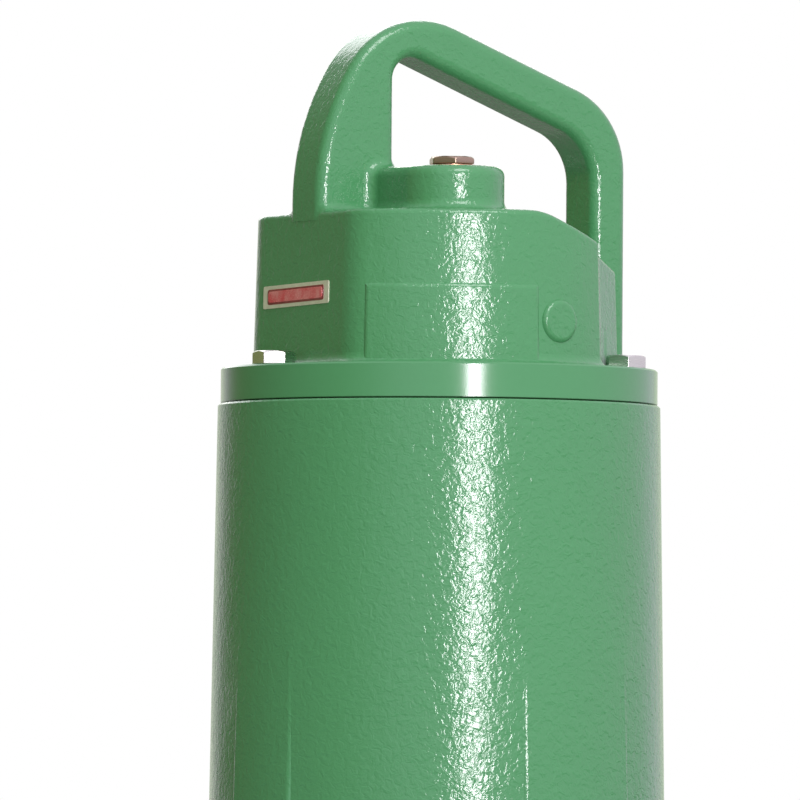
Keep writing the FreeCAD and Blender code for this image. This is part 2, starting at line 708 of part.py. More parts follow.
def shaft(hub_low, hub_top):
    """Stepped motor shaft with its nose for the impeller, bearing seats and circlip grooves."""
    foot = f"({hub_low} + 1)"
    thread = "(impeller_screw_thread / 2 + fit_gap)"
    thread_end = f"({foot} + impeller_screw_length - 3)"
    lower = "(lower_bearing_bore / 2)"
    upper = "(upper_bearing_bore / 2)"
    upper_end = f"({Z_UPPER} + upper_bearing_width)"
    body = new_body("shaft")
    turn(body, "shaft_turned", (
        ("0", thread_end),
        (thread, thread_end),
        (thread, foot),
        ("shaft_nose_radius", foot),
        ("shaft_nose_radius", hub_top),
        ("seal_shaft_radius", hub_top),
        ("seal_shaft_radius", f"{Z_LOWER} - 5"),
        (lower, f"{Z_LOWER} - 5"),
        (lower, f"{Z_LOWER} - circlip_thickness - fit_gap"),
        (f"{lower} - circlip_depth", f"{Z_LOWER} - circlip_thickness - fit_gap"),
        (f"{lower} - circlip_depth", Z_LOWER),
        (lower, Z_LOWER),
        (lower, f"{Z_LOWER} + lower_bearing_width"),
        ("shaft_core_radius", f"{Z_LOWER} + lower_bearing_width"),
        ("shaft_core_radius", Z_UPPER),
        (upper, Z_UPPER),
        (upper, upper_end),
        (f"{upper} - circlip_depth", upper_end),
        (f"{upper} - circlip_depth", f"{upper_end} + circlip_thickness + fit_gap"),
        (upper, f"{upper_end} + circlip_thickness + fit_gap"),
        (upper, f"{upper_end} + 3"),
        ("0", f"{upper_end} + 3")))
    slot = sketch(body, "key_seat_outline", "XY_Plane", hub_low)
    half = "key_width / 2"
    polygon(slot, (("shaft_nose_radius - 3", f"-{half}"), ("shaft_nose_radius + 1", f"-{half}"),
                   ("shaft_nose_radius + 1", half), ("shaft_nose_radius - 3", half)))
    extrude(body, "key_seat", slot, "key_length + 7", "Pocket", back=True)
    for node, bore, low in (("lower_circlip", lower, f"({Z_LOWER} - circlip_thickness - fit_gap / 2)"),
                            ("upper_circlip", upper, f"({upper_end} + fit_gap / 2)")):
        inner = f"{bore} - circlip_depth + fit_gap"
        outer = f"{bore} + circlip_height"
        turned(node, ((inner, low), (outer, low), (outer, f"{low} + circlip_thickness"),
                      (inner, f"{low} + circlip_thickness")))


def ball_bearing(side, level):
    """Deep groove ball bearing: two rings with their races, a cage and its balls."""
    bore = f"({side}_bearing_bore / 2)"
    outside = f"({side}_bearing_outside / 2)"
    width = f"{side}_bearing_width"
    ball = f"({side}_ball_diameter / 2)"
    middle = f"(({bore} + {outside}) / 2)"
    centre = f"({level} + {width} / 2)"
    land = f"({ball} * 0.85)"
    top = f"({level} + {width})"
    for name, low, high in (("inner", f"{bore} + fit_gap", f"{middle} - {land}"),
                            ("outer", f"{middle} + {land}", outside)):
        node = f"{side}_bearing_{name}"
        body = new_body(node)
        turn(body, node + "_ring", ((low, level), (high, level), (high, top), (low, top)))
        race = sketch(body, node + "_race_circle")
        circle(race, middle, centre, f"{ball} + ball_gap")
        groove = body.newObject("PartDesign::Groove", node + "_race")
        groove.Profile = race
        groove.ReferenceAxis = (race, ["V_Axis"])
        groove.Angle = 360
    cage = new_body(f"{side}_bearing_cage")
    reach = f"({ball} + 1)"
    turn(cage, f"{side}_cage_ring", ((f"{middle} - 1.4", f"{centre} - {reach}"),
                                     (f"{middle} + 1.4", f"{centre} - {reach}"),
                                     (f"{middle} + 1.4", f"{centre} + {reach}"),
                                     (f"{middle} - 1.4", f"{centre} + {reach}")))
    pocket = disc(cage, f"{side}_cage_pocket", "0", centre, f"{ball} - ball_gap + 0.1",
                  f"{middle} - 5", "10", "Pocket", back=True, role="YZ_Plane")
    pattern(cage, f"{side}_cage_pockets", [pocket], f"{side}_ball_count")
    balls = new_body(f"{side}_bearing_balls", many=True)
    sphere = balls.newObject("PartDesign::AdditiveSphere", f"{side}_ball")
    sphere.AttachmentSupport = [(origin(balls, "XY_Plane"), "")]
    sphere.MapMode = "FlatFace"
    sphere.setExpression("Radius", bind(f"{ball} - ball_gap"))
    sphere.setExpression("AttachmentOffset.Base.x", bind(middle))
    sphere.setExpression("AttachmentOffset.Base.z", bind(centre))
    pattern(balls, f"{side}_balls", [sphere], f"{side}_ball_count")


def seal_housing():
    """Oil chamber between pump and motor: floor with the lower seal seat, two flanges and a waist."""
    low = f"({Z_SEAL} - volute_wall)"
    spigot = "(volute_mouth_radius - fit_gap)"
    seat = "(seal_seat_radius + fit_gap)"
    chamber = f"({OIL_CHAMBER} + fit_gap)"
    body = new_body("seal_housing")
    turn(body, "seal_housing_turned", (
        ("seal_lip_radius", low),
        (spigot, low),
        (spigot, f"{Z_SEAL} - {GROOVE_WIDTH}"),
        (f"{spigot} - {GROOVE_DEPTH}", f"{Z_SEAL} - {GROOVE_WIDTH}"),
        (f"{spigot} - {GROOVE_DEPTH}", Z_SEAL),
        ("volute_flange_radius", Z_SEAL),
        ("volute_flange_radius", f"{Z_SEAL} + seal_flange_thickness"),
        (SEAL_HOUSING, f"{Z_SEAL} + seal_flange_thickness"),
        (SEAL_HOUSING, f"{Z_MOTOR} - seal_flange_thickness"),
        (HOUSING_BOTTOM, f"{Z_MOTOR} - seal_flange_thickness"),
        (HOUSING_BOTTOM, Z_MOTOR),
        (chamber, Z_MOTOR),
        (chamber, f"{Z_SEAL} + 2"),
        (seat, f"{Z_SEAL} + 2"),
        (seat, f"{low} + seal_lip_height"),
        ("seal_lip_radius", f"{low} + seal_lip_height")))
    hole = disc(body, "volute_hole", VOLUTE_PITCH, "0", "(coarse_thread_diameter + hole_clearance) / 2",
                Z_SEAL, "seal_flange_thickness", "Pocket", back=True)
    pattern(body, "volute_holes", [hole], "6")
    hole = disc(body, "motor_hole", HOUSING_PITCH, "0", "(fine_thread_diameter + hole_clearance) / 2",
                Z_MOTOR, "seal_flange_thickness", "Pocket")
    pattern(body, "motor_holes", [hole], "8")
    hole = disc(body, "bracket_hole", BRACKET_PITCH, "0", "small_thread_diameter / 2 + fit_gap", Z_MOTOR,
                "bracket_screw_depth", "Pocket")
    pattern(body, "bracket_holes", [hole], "6")
    level = f"(({Z_SEAL} + {Z_MOTOR}) / 2)"
    face = f"({SEAL_HOUSING} + plug_boss_height)"
    boss = disc(body, "plug_boss", "0", level, "oil_plug_width / 2 + 2", f"{OIL_CHAMBER} + 4",
                f"{face} - {OIL_CHAMBER} - 4", role="XZ_Plane")
    hole = disc(body, "plug_thread_hole", "0", level, "oil_plug_thread / 2 + fit_gap", face,
                f"{face} - {OIL_CHAMBER} + 2", "Pocket", role="XZ_Plane")
    pattern(body, "plug_bosses", [boss, hole], "2")
    washers = new_body("oil_plug_washers", many=True)
    ring = disc(washers, "oil_washer", "0", level, "oil_plug_width / 2 + 1", face,
                "plug_washer_thickness", role="XZ_Plane")
    hole = disc(washers, "oil_washer_hole", "0", level, "oil_plug_thread / 2 + fit_gap", face,
                "plug_washer_thickness", "Pocket", back=True, role="XZ_Plane")
    pattern(washers, "oil_washers", [ring, hole], "2")
    plugs = new_body("oil_plugs", many=True)
    seat_face = f"({face} + plug_washer_thickness)"
    outline = sketch(plugs, "oil_plug_hexagon", "XZ_Plane", seat_face)
    hexagon(outline, "0", level, "oil_plug_width")
    head = extrude(plugs, "oil_plug_head", outline, "fine_head_height")
    shank = disc(plugs, "oil_plug_shank", "0", level, "oil_plug_thread / 2", seat_face, "12", back=True,
                 role="XZ_Plane")
    pattern(plugs, "oil_plug_pair", [head, shank], "2")
    torus("volute_seal_ring", f"{spigot} - {GROOVE_DEPTH} / 2", f"{Z_SEAL} - {GROOVE_WIDTH} / 2")
    hex_screws("housing_screws", HOUSING_PITCH, f"({Z_MOTOR} - seal_flange_thickness)",
               "seal_flange_thickness + housing_screw_grip", "fine_thread_diameter", "fine_head_width",
               "fine_head_height", "8",
               up=False)


def shaft_seals():
    """Tandem mechanical seals: a fixed seat at each end, two turning rings and the spring between."""
    bore = "seal_shaft_radius + fit_gap"
    lower_seat = f"({Z_SEAL} - volute_wall + seal_lip_height)"
    upper_seat = f"({Z_MOTOR} - seal_boss_depth)"
    for node, low in (("lower_seal_seat", lower_seat), ("upper_seal_seat", upper_seat)):
        turned(node, (("seal_lip_radius", low), ("seal_seat_radius", low),
                      ("seal_seat_radius", f"{low} + seal_seat_height"),
                      ("seal_lip_radius", f"{low} + seal_seat_height")))
    lower_ring = f"({lower_seat} + seal_seat_height + face_gap)"
    upper_ring = f"({upper_seat} - face_gap - seal_ring_height)"
    for node, low in (("lower_seal_ring", lower_ring), ("upper_seal_ring", upper_ring)):
        turned(node, ((bore, low), ("seal_ring_radius", low),
                      ("seal_ring_radius", f"{low} + seal_ring_height"),
                      (bore, f"{low} + seal_ring_height")))
    body = new_body("seal_spring")
    wire = sketch(body, "spring_wire")
    start = f"({lower_ring} + seal_ring_height + spring_wire_radius + fit_gap)"
    rise = f"({upper_ring} - spring_wire_radius - fit_gap - {start})"
    circle(wire, "(seal_shaft_radius + seal_ring_radius) / 2 + 0.5", start, "spring_wire_radius")
    coil = body.newObject("PartDesign::AdditiveHelix", "spring_coil")
    coil.Profile = wire
    coil.ReferenceAxis = (wire, ["V_Axis"])
    coil.Mode = 0
    coil.setExpression("Pitch", bind(f"{rise} / spring_turns"))
    coil.setExpression("Height", bind(rise))


def bearing_bracket():
    """Lower bearing carrier: a plate on the oil chamber with the bearing hub above and seal boss below."""
    seat = "(seal_seat_radius + fit_gap)"
    hub = "(lower_bearing_outside / 2 + fit_gap)"
    relief = "(lower_bearing_bore / 2 + circlip_height + 2)"
    seat_top = f"({Z_MOTOR} - seal_boss_depth + seal_seat_height)"
    body = new_body("bearing_bracket")
    turn(body, "bearing_bracket_turned", (
        (seat, f"{Z_MOTOR} - seal_boss_depth"),
        ("seal_boss_radius", f"{Z_MOTOR} - seal_boss_depth"),
        ("seal_boss_radius + 4", Z_MOTOR),
        (f"{OIL_CHAMBER} - 7", Z_MOTOR),
        (f"{OIL_CHAMBER} - 7", f"{Z_MOTOR} - bracket_spigot_depth"),
        (OIL_CHAMBER, f"{Z_MOTOR} - bracket_spigot_depth"),
        (OIL_CHAMBER, Z_MOTOR),
        (f"{SKIRT_BORE} - fit_gap", Z_MOTOR),
        (f"{SKIRT_BORE} - fit_gap", f"{Z_MOTOR} + bracket_plate_thickness"),
        ("bracket_hub_radius + 6", f"{Z_MOTOR} + bracket_plate_thickness"),
        ("bracket_hub_radius", f"{Z_MOTOR} + bracket_hub_height"),
        (hub, f"{Z_MOTOR} + bracket_hub_height"),
        (hub, Z_LOWER),
        (relief, Z_LOWER),
        (relief, f"{Z_LOWER} - 4"),
        ("seal_lip_radius + 1.5", f"{Z_LOWER} - 4"),
        ("seal_lip_radius + 1.5", seat_top),
        (seat, seat_top)))
    hole = disc(body, "bracket_screw_hole", BRACKET_PITCH, "0",
                "(small_thread_diameter + hole_clearance / 2) / 2", Z_MOTOR, "bracket_plate_thickness",
                "Pocket", back=True)
    pattern(body, "bracket_screw_holes", [hole], "6")
    hex_screws("bracket_screws", BRACKET_PITCH, f"({Z_MOTOR} + bracket_plate_thickness)",
               "bracket_plate_thickness + bracket_screw_depth - 1", "small_thread_diameter",
               "small_head_width", "small_head_height", "6")


def housing_band(number, width):
    """A raised band low on the barrel: it grows out of the drafted wall and has rounded long edges."""
    rise = f"({Z_COVER} - band_rise)"
    rise_radius = f"({HOUSING_TOP} + band_rise * tan(housing_draft))"
    body = new_body(f"band_{number}", piece=False)
    body.setExpression("Placement.Rotation.Angle", bind(f"band_angle + {number} * 90"))
    block = turn(body, f"band_{number}_block", (
        (f"{HOUSING_BOTTOM} - band_root", Z_MOTOR),
        (f"{HOUSING_BOTTOM} + band_proud", Z_MOTOR),
        (f"{rise_radius} - fit_gap", rise),
        (f"{rise_radius} - band_root", rise)),
        sweep=width, start=f"-{width} / 2")
    doc.recompute()
    reach = value(f"{HOUSING_BOTTOM} - band_root / 2")

    long_edges = edges_where(block, lambda edge: edge.BoundBox.ZLength > 20
                             and max(math.hypot(end.Point.x, end.Point.y) for end in edge.Vertexes) > reach)
    round_edges(body, f"band_{number}_rounding", block, long_edges, "band_edge_radius")
    return body


def motor_housing():
    """Smooth drafted motor barrel with a sleeve for the stator and four raised bands low outside."""
    wall = f"({HOUSING_TOP} - cover_edge_chamfer)"
    bore = f"({COVER_SPIGOT} + fit_gap)"
    sleeve = f"({STATOR} + fit_gap)"
    jacket = f"({Z_COVER} - jacket_top)"
    barrel = new_body("barrel", piece=False)
    turn(barrel, "barrel_turned", (
        (SKIRT_BORE, Z_MOTOR),
        (HOUSING_BOTTOM, Z_MOTOR),
        (HOUSING_TOP, f"{Z_COVER} - cover_edge_chamfer"),
        (wall, Z_COVER),
        (bore, Z_COVER),
        (bore, f"{Z_COVER} - ledge_depth"),
        (sleeve, f"{Z_COVER} - ledge_depth"),
        (sleeve, f"{Z_MOTOR} + sleeve_bottom"),
        (SLEEVE_OUTER, f"{Z_MOTOR} + sleeve_bottom"),
        (SLEEVE_OUTER, jacket),
        (SKIRT_BORE, jacket)))
    widths = ("side_band_width", "band_width") * 2
    bands = [housing_band(number, width) for number, width in enumerate(widths)]
    casting = doc.addObject("Part::MultiFuse", "housing_casting")
    casting.Shapes = [barrel] + bands
    threads = new_body("housing_threads", many=True, piece=False)
    tapped = disc(threads, "skirt_thread", HOUSING_PITCH, "0", "fine_thread_diameter / 2 + fit_gap", Z_MOTOR,
                  "housing_thread_depth")
    pattern(threads, "skirt_threads", [tapped], "8")
    tapped = disc(threads, "cover_thread", SCREW_X, SCREW_Y, "coarse_thread_diameter / 2 + fit_gap", Z_COVER,
                  "ledge_depth", back=True)
    pattern(threads, "cover_threads", [tapped], "3", "360 - 2 * cover_screw_angle")
    housing = doc.addObject("Part::Cut", "motor_housing")
    housing.Base = casting
    housing.Tool = threads
    housing.Refine = True
    housing.Label = "motor_housing"
    pieces.append(housing)


def motor():
    """Stator with its slots and end windings, and the cage rotor on the shaft."""
    top = f"({Z_CORE} + {CORE_LENGTH})"
    bore = f"({ROTOR} + air_gap)"
    core = new_body("stator_core")
    turn(core, "stator_turned", ((bore, Z_CORE), (STATOR, Z_CORE), (STATOR, top),
                                 (bore, top)))
    outline = sketch(core, "slot_outline", "XY_Plane", Z_CORE)
    half = "slot_width / 2"
    polygon(outline, ((f"{bore} - 2", f"-{half}"), (f"{bore} + slot_depth", f"-{half}"),
                      (f"{bore} + slot_depth", half), (f"{bore} - 2", half)))
    slot = extrude(core, "slot", outline, CORE_LENGTH, "Pocket", back=True)
    pattern(core, "slots", [slot], "slot_count")
    for node, low in (("lower_winding", f"({Z_CORE} - winding_height)"), ("upper_winding", top)):
        high = f"({low} + winding_height)"
        bevel = "5"
        near, far = (low, high) if node == "lower_winding" else (high, low)
        sign = "+" if node == "lower_winding" else "-"
        turned(node, ((f"{WINDING_INNER} + {bevel}", near), (f"{WINDING_OUTER} - {bevel}", near),
                      (WINDING_OUTER, f"{near} {sign} {bevel}"), (WINDING_OUTER, far),
                      (WINDING_INNER, far), (WINDING_INNER, f"{near} {sign} {bevel}")))
    seat = "shaft_core_radius + fit_gap"
    turned("rotor_core", ((seat, Z_CORE), (ROTOR, Z_CORE), (ROTOR, top), (seat, top)))
    for node, low in (("lower_end_ring", f"({Z_CORE} - end_ring_height)"), ("upper_end_ring", top)):
        high = f"{low} + end_ring_height"
        rim = f"{ROTOR} - 0.5"
        turned(node, ((END_RING_BORE, low), (rim, low), (rim, high), (END_RING_BORE, high)))


def upper_carrier():
    """Upper bearing carrier on the housing's ledge, with the preload washer and the terminal board."""
    hub = "(upper_bearing_outside / 2 + fit_gap)"
    bearing_top = f"({Z_UPPER} + upper_bearing_width)"
    washer_top = f"({bearing_top} + wave_washer_thickness + fit_gap)"
    plate_top = f"({Z_CARRIER} + carrier_thickness)"
    clear = "(upper_bearing_bore / 2 + circlip_height + 5)"
    body = new_body("upper_bearing_carrier")
    turn(body, "carrier_turned", (
        ("0", f"{washer_top} + 2.5"),
        (clear, f"{washer_top} + 2.5"),
        (clear, washer_top),
        (hub, washer_top),
        (hub, f"{Z_CARRIER} - carrier_hub_drop"),
        ("carrier_hub_radius", f"{Z_CARRIER} - carrier_hub_drop"),
        ("carrier_hub_radius + 4", Z_CARRIER),
        (COVER_SPIGOT, Z_CARRIER),
        (COVER_SPIGOT, plate_top),
        ("0", plate_top)))
    cable_hole = disc(body, "lead_hole", f"(carrier_hub_radius + {COVER_SPIGOT}) / 2", "0", "8",
                      Z_CARRIER, "carrier_thickness", "Pocket", back=True)
    pattern(body, "lead_holes", [cable_hole], "3")
    inner = f"({clear} + 1)"
    outer = "(upper_bearing_outside / 2 - 0.3)"
    turned("preload_washer", ((inner, bearing_top), (outer, bearing_top),
                              (outer, f"{bearing_top} + wave_washer_thickness"),
                              (inner, f"{bearing_top} + wave_washer_thickness")))
    board_top = f"({plate_top} + terminal_board_thickness)"
    board = new_body("terminal_board")
    turn(board, "terminal_board_turned", (
        ("0", plate_top), ("terminal_board_radius", plate_top),
        ("terminal_board_radius", f"{board_top} - 2"), ("terminal_board_radius - 2", board_top),
        ("0", board_top)))
    hole = disc(board, "stud_hole", "terminal_pitch", "0", "terminal_stud_radius + fit_gap", board_top,
                "terminal_board_thickness - 3", "Pocket")
    pattern(board, "stud_holes", [hole], "6")
    studs = new_body("terminal_studs", many=True)
    stud = disc(studs, "stud", "terminal_pitch", "0", "terminal_stud_radius",
                f"{board_top} - terminal_board_thickness + 3",
                "terminal_board_thickness - 3 + terminal_stud_height")
    pattern(studs, "stud_ring", [stud], "6")
    nuts = new_body("terminal_nuts", many=True)
    outline = sketch(nuts, "nut_hexagon", "XY_Plane", board_top)
    hexagon(outline, "terminal_pitch", "0", "terminal_nut_width")
    nut = extrude(nuts, "nut", outline, "4")
    hole = disc(nuts, "nut_hole", "terminal_pitch", "0", "terminal_stud_radius + fit_gap", board_top, "4",
                "Pocket", back=True)
    pattern(nuts, "nut_ring", [nut, hole], "6")


def cover_casting():
    """Flange and spigot of the motor cover."""
    spigot_low = f"({Z_CARRIER} + carrier_thickness)"
    cavity = f"({COVER_SPIGOT} - cover_spigot_wall)"
    edge = "cover_edge_chamfer"
    body = new_body("cover_flange", piece=False)
    turn(body, "flange_turned", (
        (cavity, spigot_low),
        (COVER_SPIGOT, spigot_low),
        (COVER_SPIGOT, f"{Z_COVER} - {GROOVE_WIDTH}"),
        (f"{COVER_SPIGOT} - {GROOVE_DEPTH}", f"{Z_COVER} - {GROOVE_WIDTH}"),
        (f"{COVER_SPIGOT} - {GROOVE_DEPTH}", Z_COVER),
        (f"cover_flange_radius - {edge}", Z_COVER),
        ("cover_flange_radius", f"{Z_COVER} + {edge}"),
        ("cover_flange_radius", f"{Z_FLANGE} - {edge}"),
        (f"cover_flange_radius - {edge}", Z_FLANGE),
        (cavity, Z_FLANGE)))
    torus("cover_seal_ring", f"{COVER_SPIGOT} - {GROOVE_DEPTH} / 2",
          f"{Z_COVER} - {GROOVE_WIDTH} / 2")
    return body


def edges_where(feature, test):
    """The names of a feature's edges that pass a test."""
    return [f"Edge{number}" for number, edge in enumerate(feature.Shape.Edges, 1) if test(edge)]


def round_edges(body, name, base, edges, radius):
    feature = body.newObject("PartDesign::Fillet", name)
    feature.Base = (base, edges)
    feature.setExpression("Radius", bind(radius))
    return feature


def cover_head():
    """Terminal head: a drafted round wall with one flat, a recess round two screws and a sloped roof."""
    body = new_body("cover_head", piece=False)
    outline = sketch(body, "head_outline", "XY_Plane", Z_FLANGE)
    radius = value(HEAD_RADIUS)
    flat = value(HEAD_FLAT)
    half = value(RECESS_EDGE)
    flat_angle = math.acos(flat / radius)
    recess_angle = math.asin(half / radius)
    ring = Part.Circle(V(0, 0, 0), V(0, 0, 1), radius)
    front_arc = Part.ArcOfCircle(ring, math.pi + flat_angle, 2 * math.pi - recess_angle)
    front = outline.addGeometry(front_arc, False)
    back = outline.addGeometry(Part.ArcOfCircle(ring, recess_angle, math.pi - flat_angle), False)
    inner_x, inner_y, end, facet_y = (value(size) for size in (RECESS_X, RECESS_Y, HEAD_END, FACET_Y))
    places = (outline.getPoint(front, 2), V(inner_x, -inner_y, 0), V(end, -facet_y, 0),
              V(end, facet_y, 0), V(inner_x, inner_y, 0), outline.getPoint(back, 1))
    lines = [outline.addGeometry(Part.LineSegment(a, b), False) for a, b in zip(places, places[1:])]
    flat_side = Part.LineSegment(outline.getPoint(back, 2), outline.getPoint(front, 1))
    flat_line = outline.addGeometry(flat_side, False)
    chain = [(front, 2, lines[0], 1)] + [(a, 2, b, 1) for a, b in zip(lines, lines[1:])]
    chain += [(lines[-1], 2, back, 1), (back, 2, flat_line, 1), (flat_line, 2, front, 1),
              (front, 3, -1, 1), (back, 3, -1, 1)]
    outline.addConstraint([Sketcher.Constraint("Coincident", *ends) for ends in chain])
    fix(outline, "Radius", front, size=HEAD_RADIUS)
    fix(outline, "Radius", back, size=HEAD_RADIUS)
    outline.addConstraint(Sketcher.Constraint("Vertical", flat_line))
    fix(outline, "DistanceX", -1, 1, flat_line, 1, size=f"-{HEAD_FLAT}")
    fix(outline, "DistanceY", -1, 1, front, 2, size=f"-{RECESS_EDGE}")
    fix(outline, "DistanceY", -1, 1, back, 1, size=RECESS_EDGE)
    place(outline, lines[1], 1, RECESS_X, f"-{RECESS_Y}")
    place(outline, lines[2], 1, HEAD_END, f"-{FACET_Y}")
    place(outline, lines[3], 1, HEAD_END, FACET_Y)
    place(outline, lines[4], 1, RECESS_X, RECESS_Y)
    extrude(body, "head_block", outline, "head_height", taper="-head_draft")
    far = "(cover_flange_radius + 20)"
    wedge = sketch(body, "roof_wedge")
    polygon(wedge, (("head_slope_start", Z_HEAD),
                    (far, f"{Z_HEAD} - ({far} - head_slope_start) * tan(head_slope)"),
                    (far, f"{Z_HEAD} + 10"), ("head_slope_start", f"{Z_HEAD} + 10")))
    roof = body.newObject("PartDesign::Pocket", "sloped_roof")
    roof.Profile = wedge
    roof.Midplane = True
    roof.setExpression("Length", bind("4 * cover_flange_radius"))
    doc.recompute()
    corner = value(HEAD_FLAT) - 3

    def upright(edge):
        box = edge.BoundBox
        return box.ZLength > 20 and box.XLength < 5

    corners = edges_where(roof, lambda edge: upright(edge) and edge.BoundBox.XMax < -corner)
    rounded = round_edges(body, "corner_rounding", roof, corners, "head_corner_radius")
    doc.recompute()
    top = value(Z_HEAD)
    start = value("head_slope_start")
    fall = math.tan(math.radians(value("head_slope")))

    def over_roof(edge, depth):
        """Whether an edge runs along the roof, or no deeper under its planes."""
        spots = [edge.valueAt(edge.FirstParameter + part * (edge.LastParameter - edge.FirstParameter))
                 for part in (0, 0.5, 1)]
        planes = [top - max(0, spot.x - start) * fall for spot in spots]
        return all(-0.01 - depth < spot.z - plane < 0.01 for spot, plane in zip(spots, planes))

    def across(edge, reach):
        """Whether an edge crosses the roof within a reach of the ridge."""
        box = edge.BoundBox
        return box.XLength < 0.01 and abs(box.XMin - start) < reach

    ridge = edges_where(rounded, lambda edge: over_roof(edge, 0) and across(edge, 0.01))
    bent = round_edges(body, "ridge_rounding", rounded, ridge, "ridge_radius")
    doc.recompute()

    hollow = value(f"{RECESS_X} - recess_radius")
    bottom = value(f"{RECESS_X} + recess_radius")

    def corner_at(edge, low, high):
        return upright(edge) and low < edge.BoundBox.XMin and edge.BoundBox.XMax < high

    hollows = edges_where(bent, lambda edge: corner_at(edge, hollow, bottom))
    notched = round_edges(body, "recess_rounding", bent, hollows, "recess_radius")
    doc.recompute()

    def is_rim(edge):
        return over_roof(edge, 1) and not across(edge, 20)

    rims = edges_where(notched, lambda edge: is_rim(edge) or corner_at(edge, 0, hollow)
                       or corner_at(edge, bottom, end + 1))
    round_edges(body, "edge_rounding", notched, rims, "head_edge_radius")
    return body


def raised_pads():
    """The shallow machining pad round the head's front left and the round pad beside it."""
    wide = new_body("front_pad", piece=False)
    outer = f"({HEAD_RADIUS} + pad_proud)"
    outline = ((f"{HEAD_RADIUS} - pad_root", Z_FLANGE), (outer, Z_FLANGE),
               (f"{outer} - pad_height * tan(head_draft)", f"{Z_FLANGE} + pad_height"),
               (f"{HEAD_RADIUS} - pad_root", f"{Z_FLANGE} + pad_height"))
    block = turn(wide, "front_pad_turned", outline, sweep="pad_sweep", start="pad_start_angle")
    small = new_body("round_pad", piece=False)
    small.setExpression("Placement.Rotation.Angle", bind("round_pad_angle"))
    button = disc(small, "round_pad_disc", "0", f"{Z_FLANGE} + round_pad_height", "round_pad_radius",
                  f"{HEAD_RADIUS} - pad_root",
                  "pad_root + round_pad_proud - round_pad_height * tan(head_draft)", role="YZ_Plane")
    doc.recompute()
    low = value(Z_FLANGE)
    reach = value(f"{HEAD_RADIUS} - pad_root / 2")

    def outside(edge):
        spots = [edge.valueAt(edge.FirstParameter), edge.valueAt(edge.LastParameter)]
        return all(math.hypot(spot.x, spot.y) > reach for spot in spots) and edge.BoundBox.ZMax > low + 1

    round_edges(wide, "front_pad_rounding", block, edges_where(block, outside), "pad_edge_radius")
    rim = edges_where(button, lambda edge: edge.BoundBox.XMin > reach)
    round_edges(small, "round_pad_rounding", button, rim, "pad_edge_radius")
    return [wide, small]


def top_boss():
    """Oblong boss on the roof, in front of the handle's thick leg, that carries the inspection plug."""
    body = new_body("top_boss", piece=False)
    outline = sketch(body, "boss_outline", "XY_Plane", f"{Z_HEAD} - 4")
    middle = -value(BOSS_OFFSET)
    radius = value("boss_width") / 2
    front_y = -value("boss_front")
    back_y = value("boss_back")
    front = outline.addGeometry(Part.ArcOfCircle(Part.Circle(V(middle, front_y, 0), V(0, 0, 1), radius),
                                                 math.pi, 2 * math.pi), False)
    back = outline.addGeometry(Part.ArcOfCircle(Part.Circle(V(middle, back_y, 0), V(0, 0, 1), radius),
                                                0, math.pi), False)
    right, left = [outline.addGeometry(Part.LineSegment(outline.getPoint(a, 2), outline.getPoint(b, 1)),
                                       False)
                   for a, b in ((front, back), (back, front))]
    outline.addConstraint([Sketcher.Constraint("Tangent", front, 2, right, 1),
                           Sketcher.Constraint("Tangent", right, 2, back, 1),
                           Sketcher.Constraint("Tangent", back, 2, left, 1),
                           Sketcher.Constraint("Tangent", left, 2, front, 1)])
    place(outline, front, 3, f"-{BOSS_OFFSET}", "-boss_front")
    fix(outline, "DistanceX", -1, 1, back, 3, size=f"-{BOSS_OFFSET}")
    fix(outline, "DistanceY", -1, 1, back, 3, size="boss_back")
    fix(outline, "Radius", front, size="boss_width / 2")
    block = extrude(body, "boss_block", outline, "boss_height + 4")
    doc.recompute()
    top = value(Z_BOSS)
    rims = edges_where(block, lambda edge: edge.BoundBox.ZMin > top - 0.01)
    round_edges(body, "boss_rounding", block, rims, "boss_edge_radius")
    return body


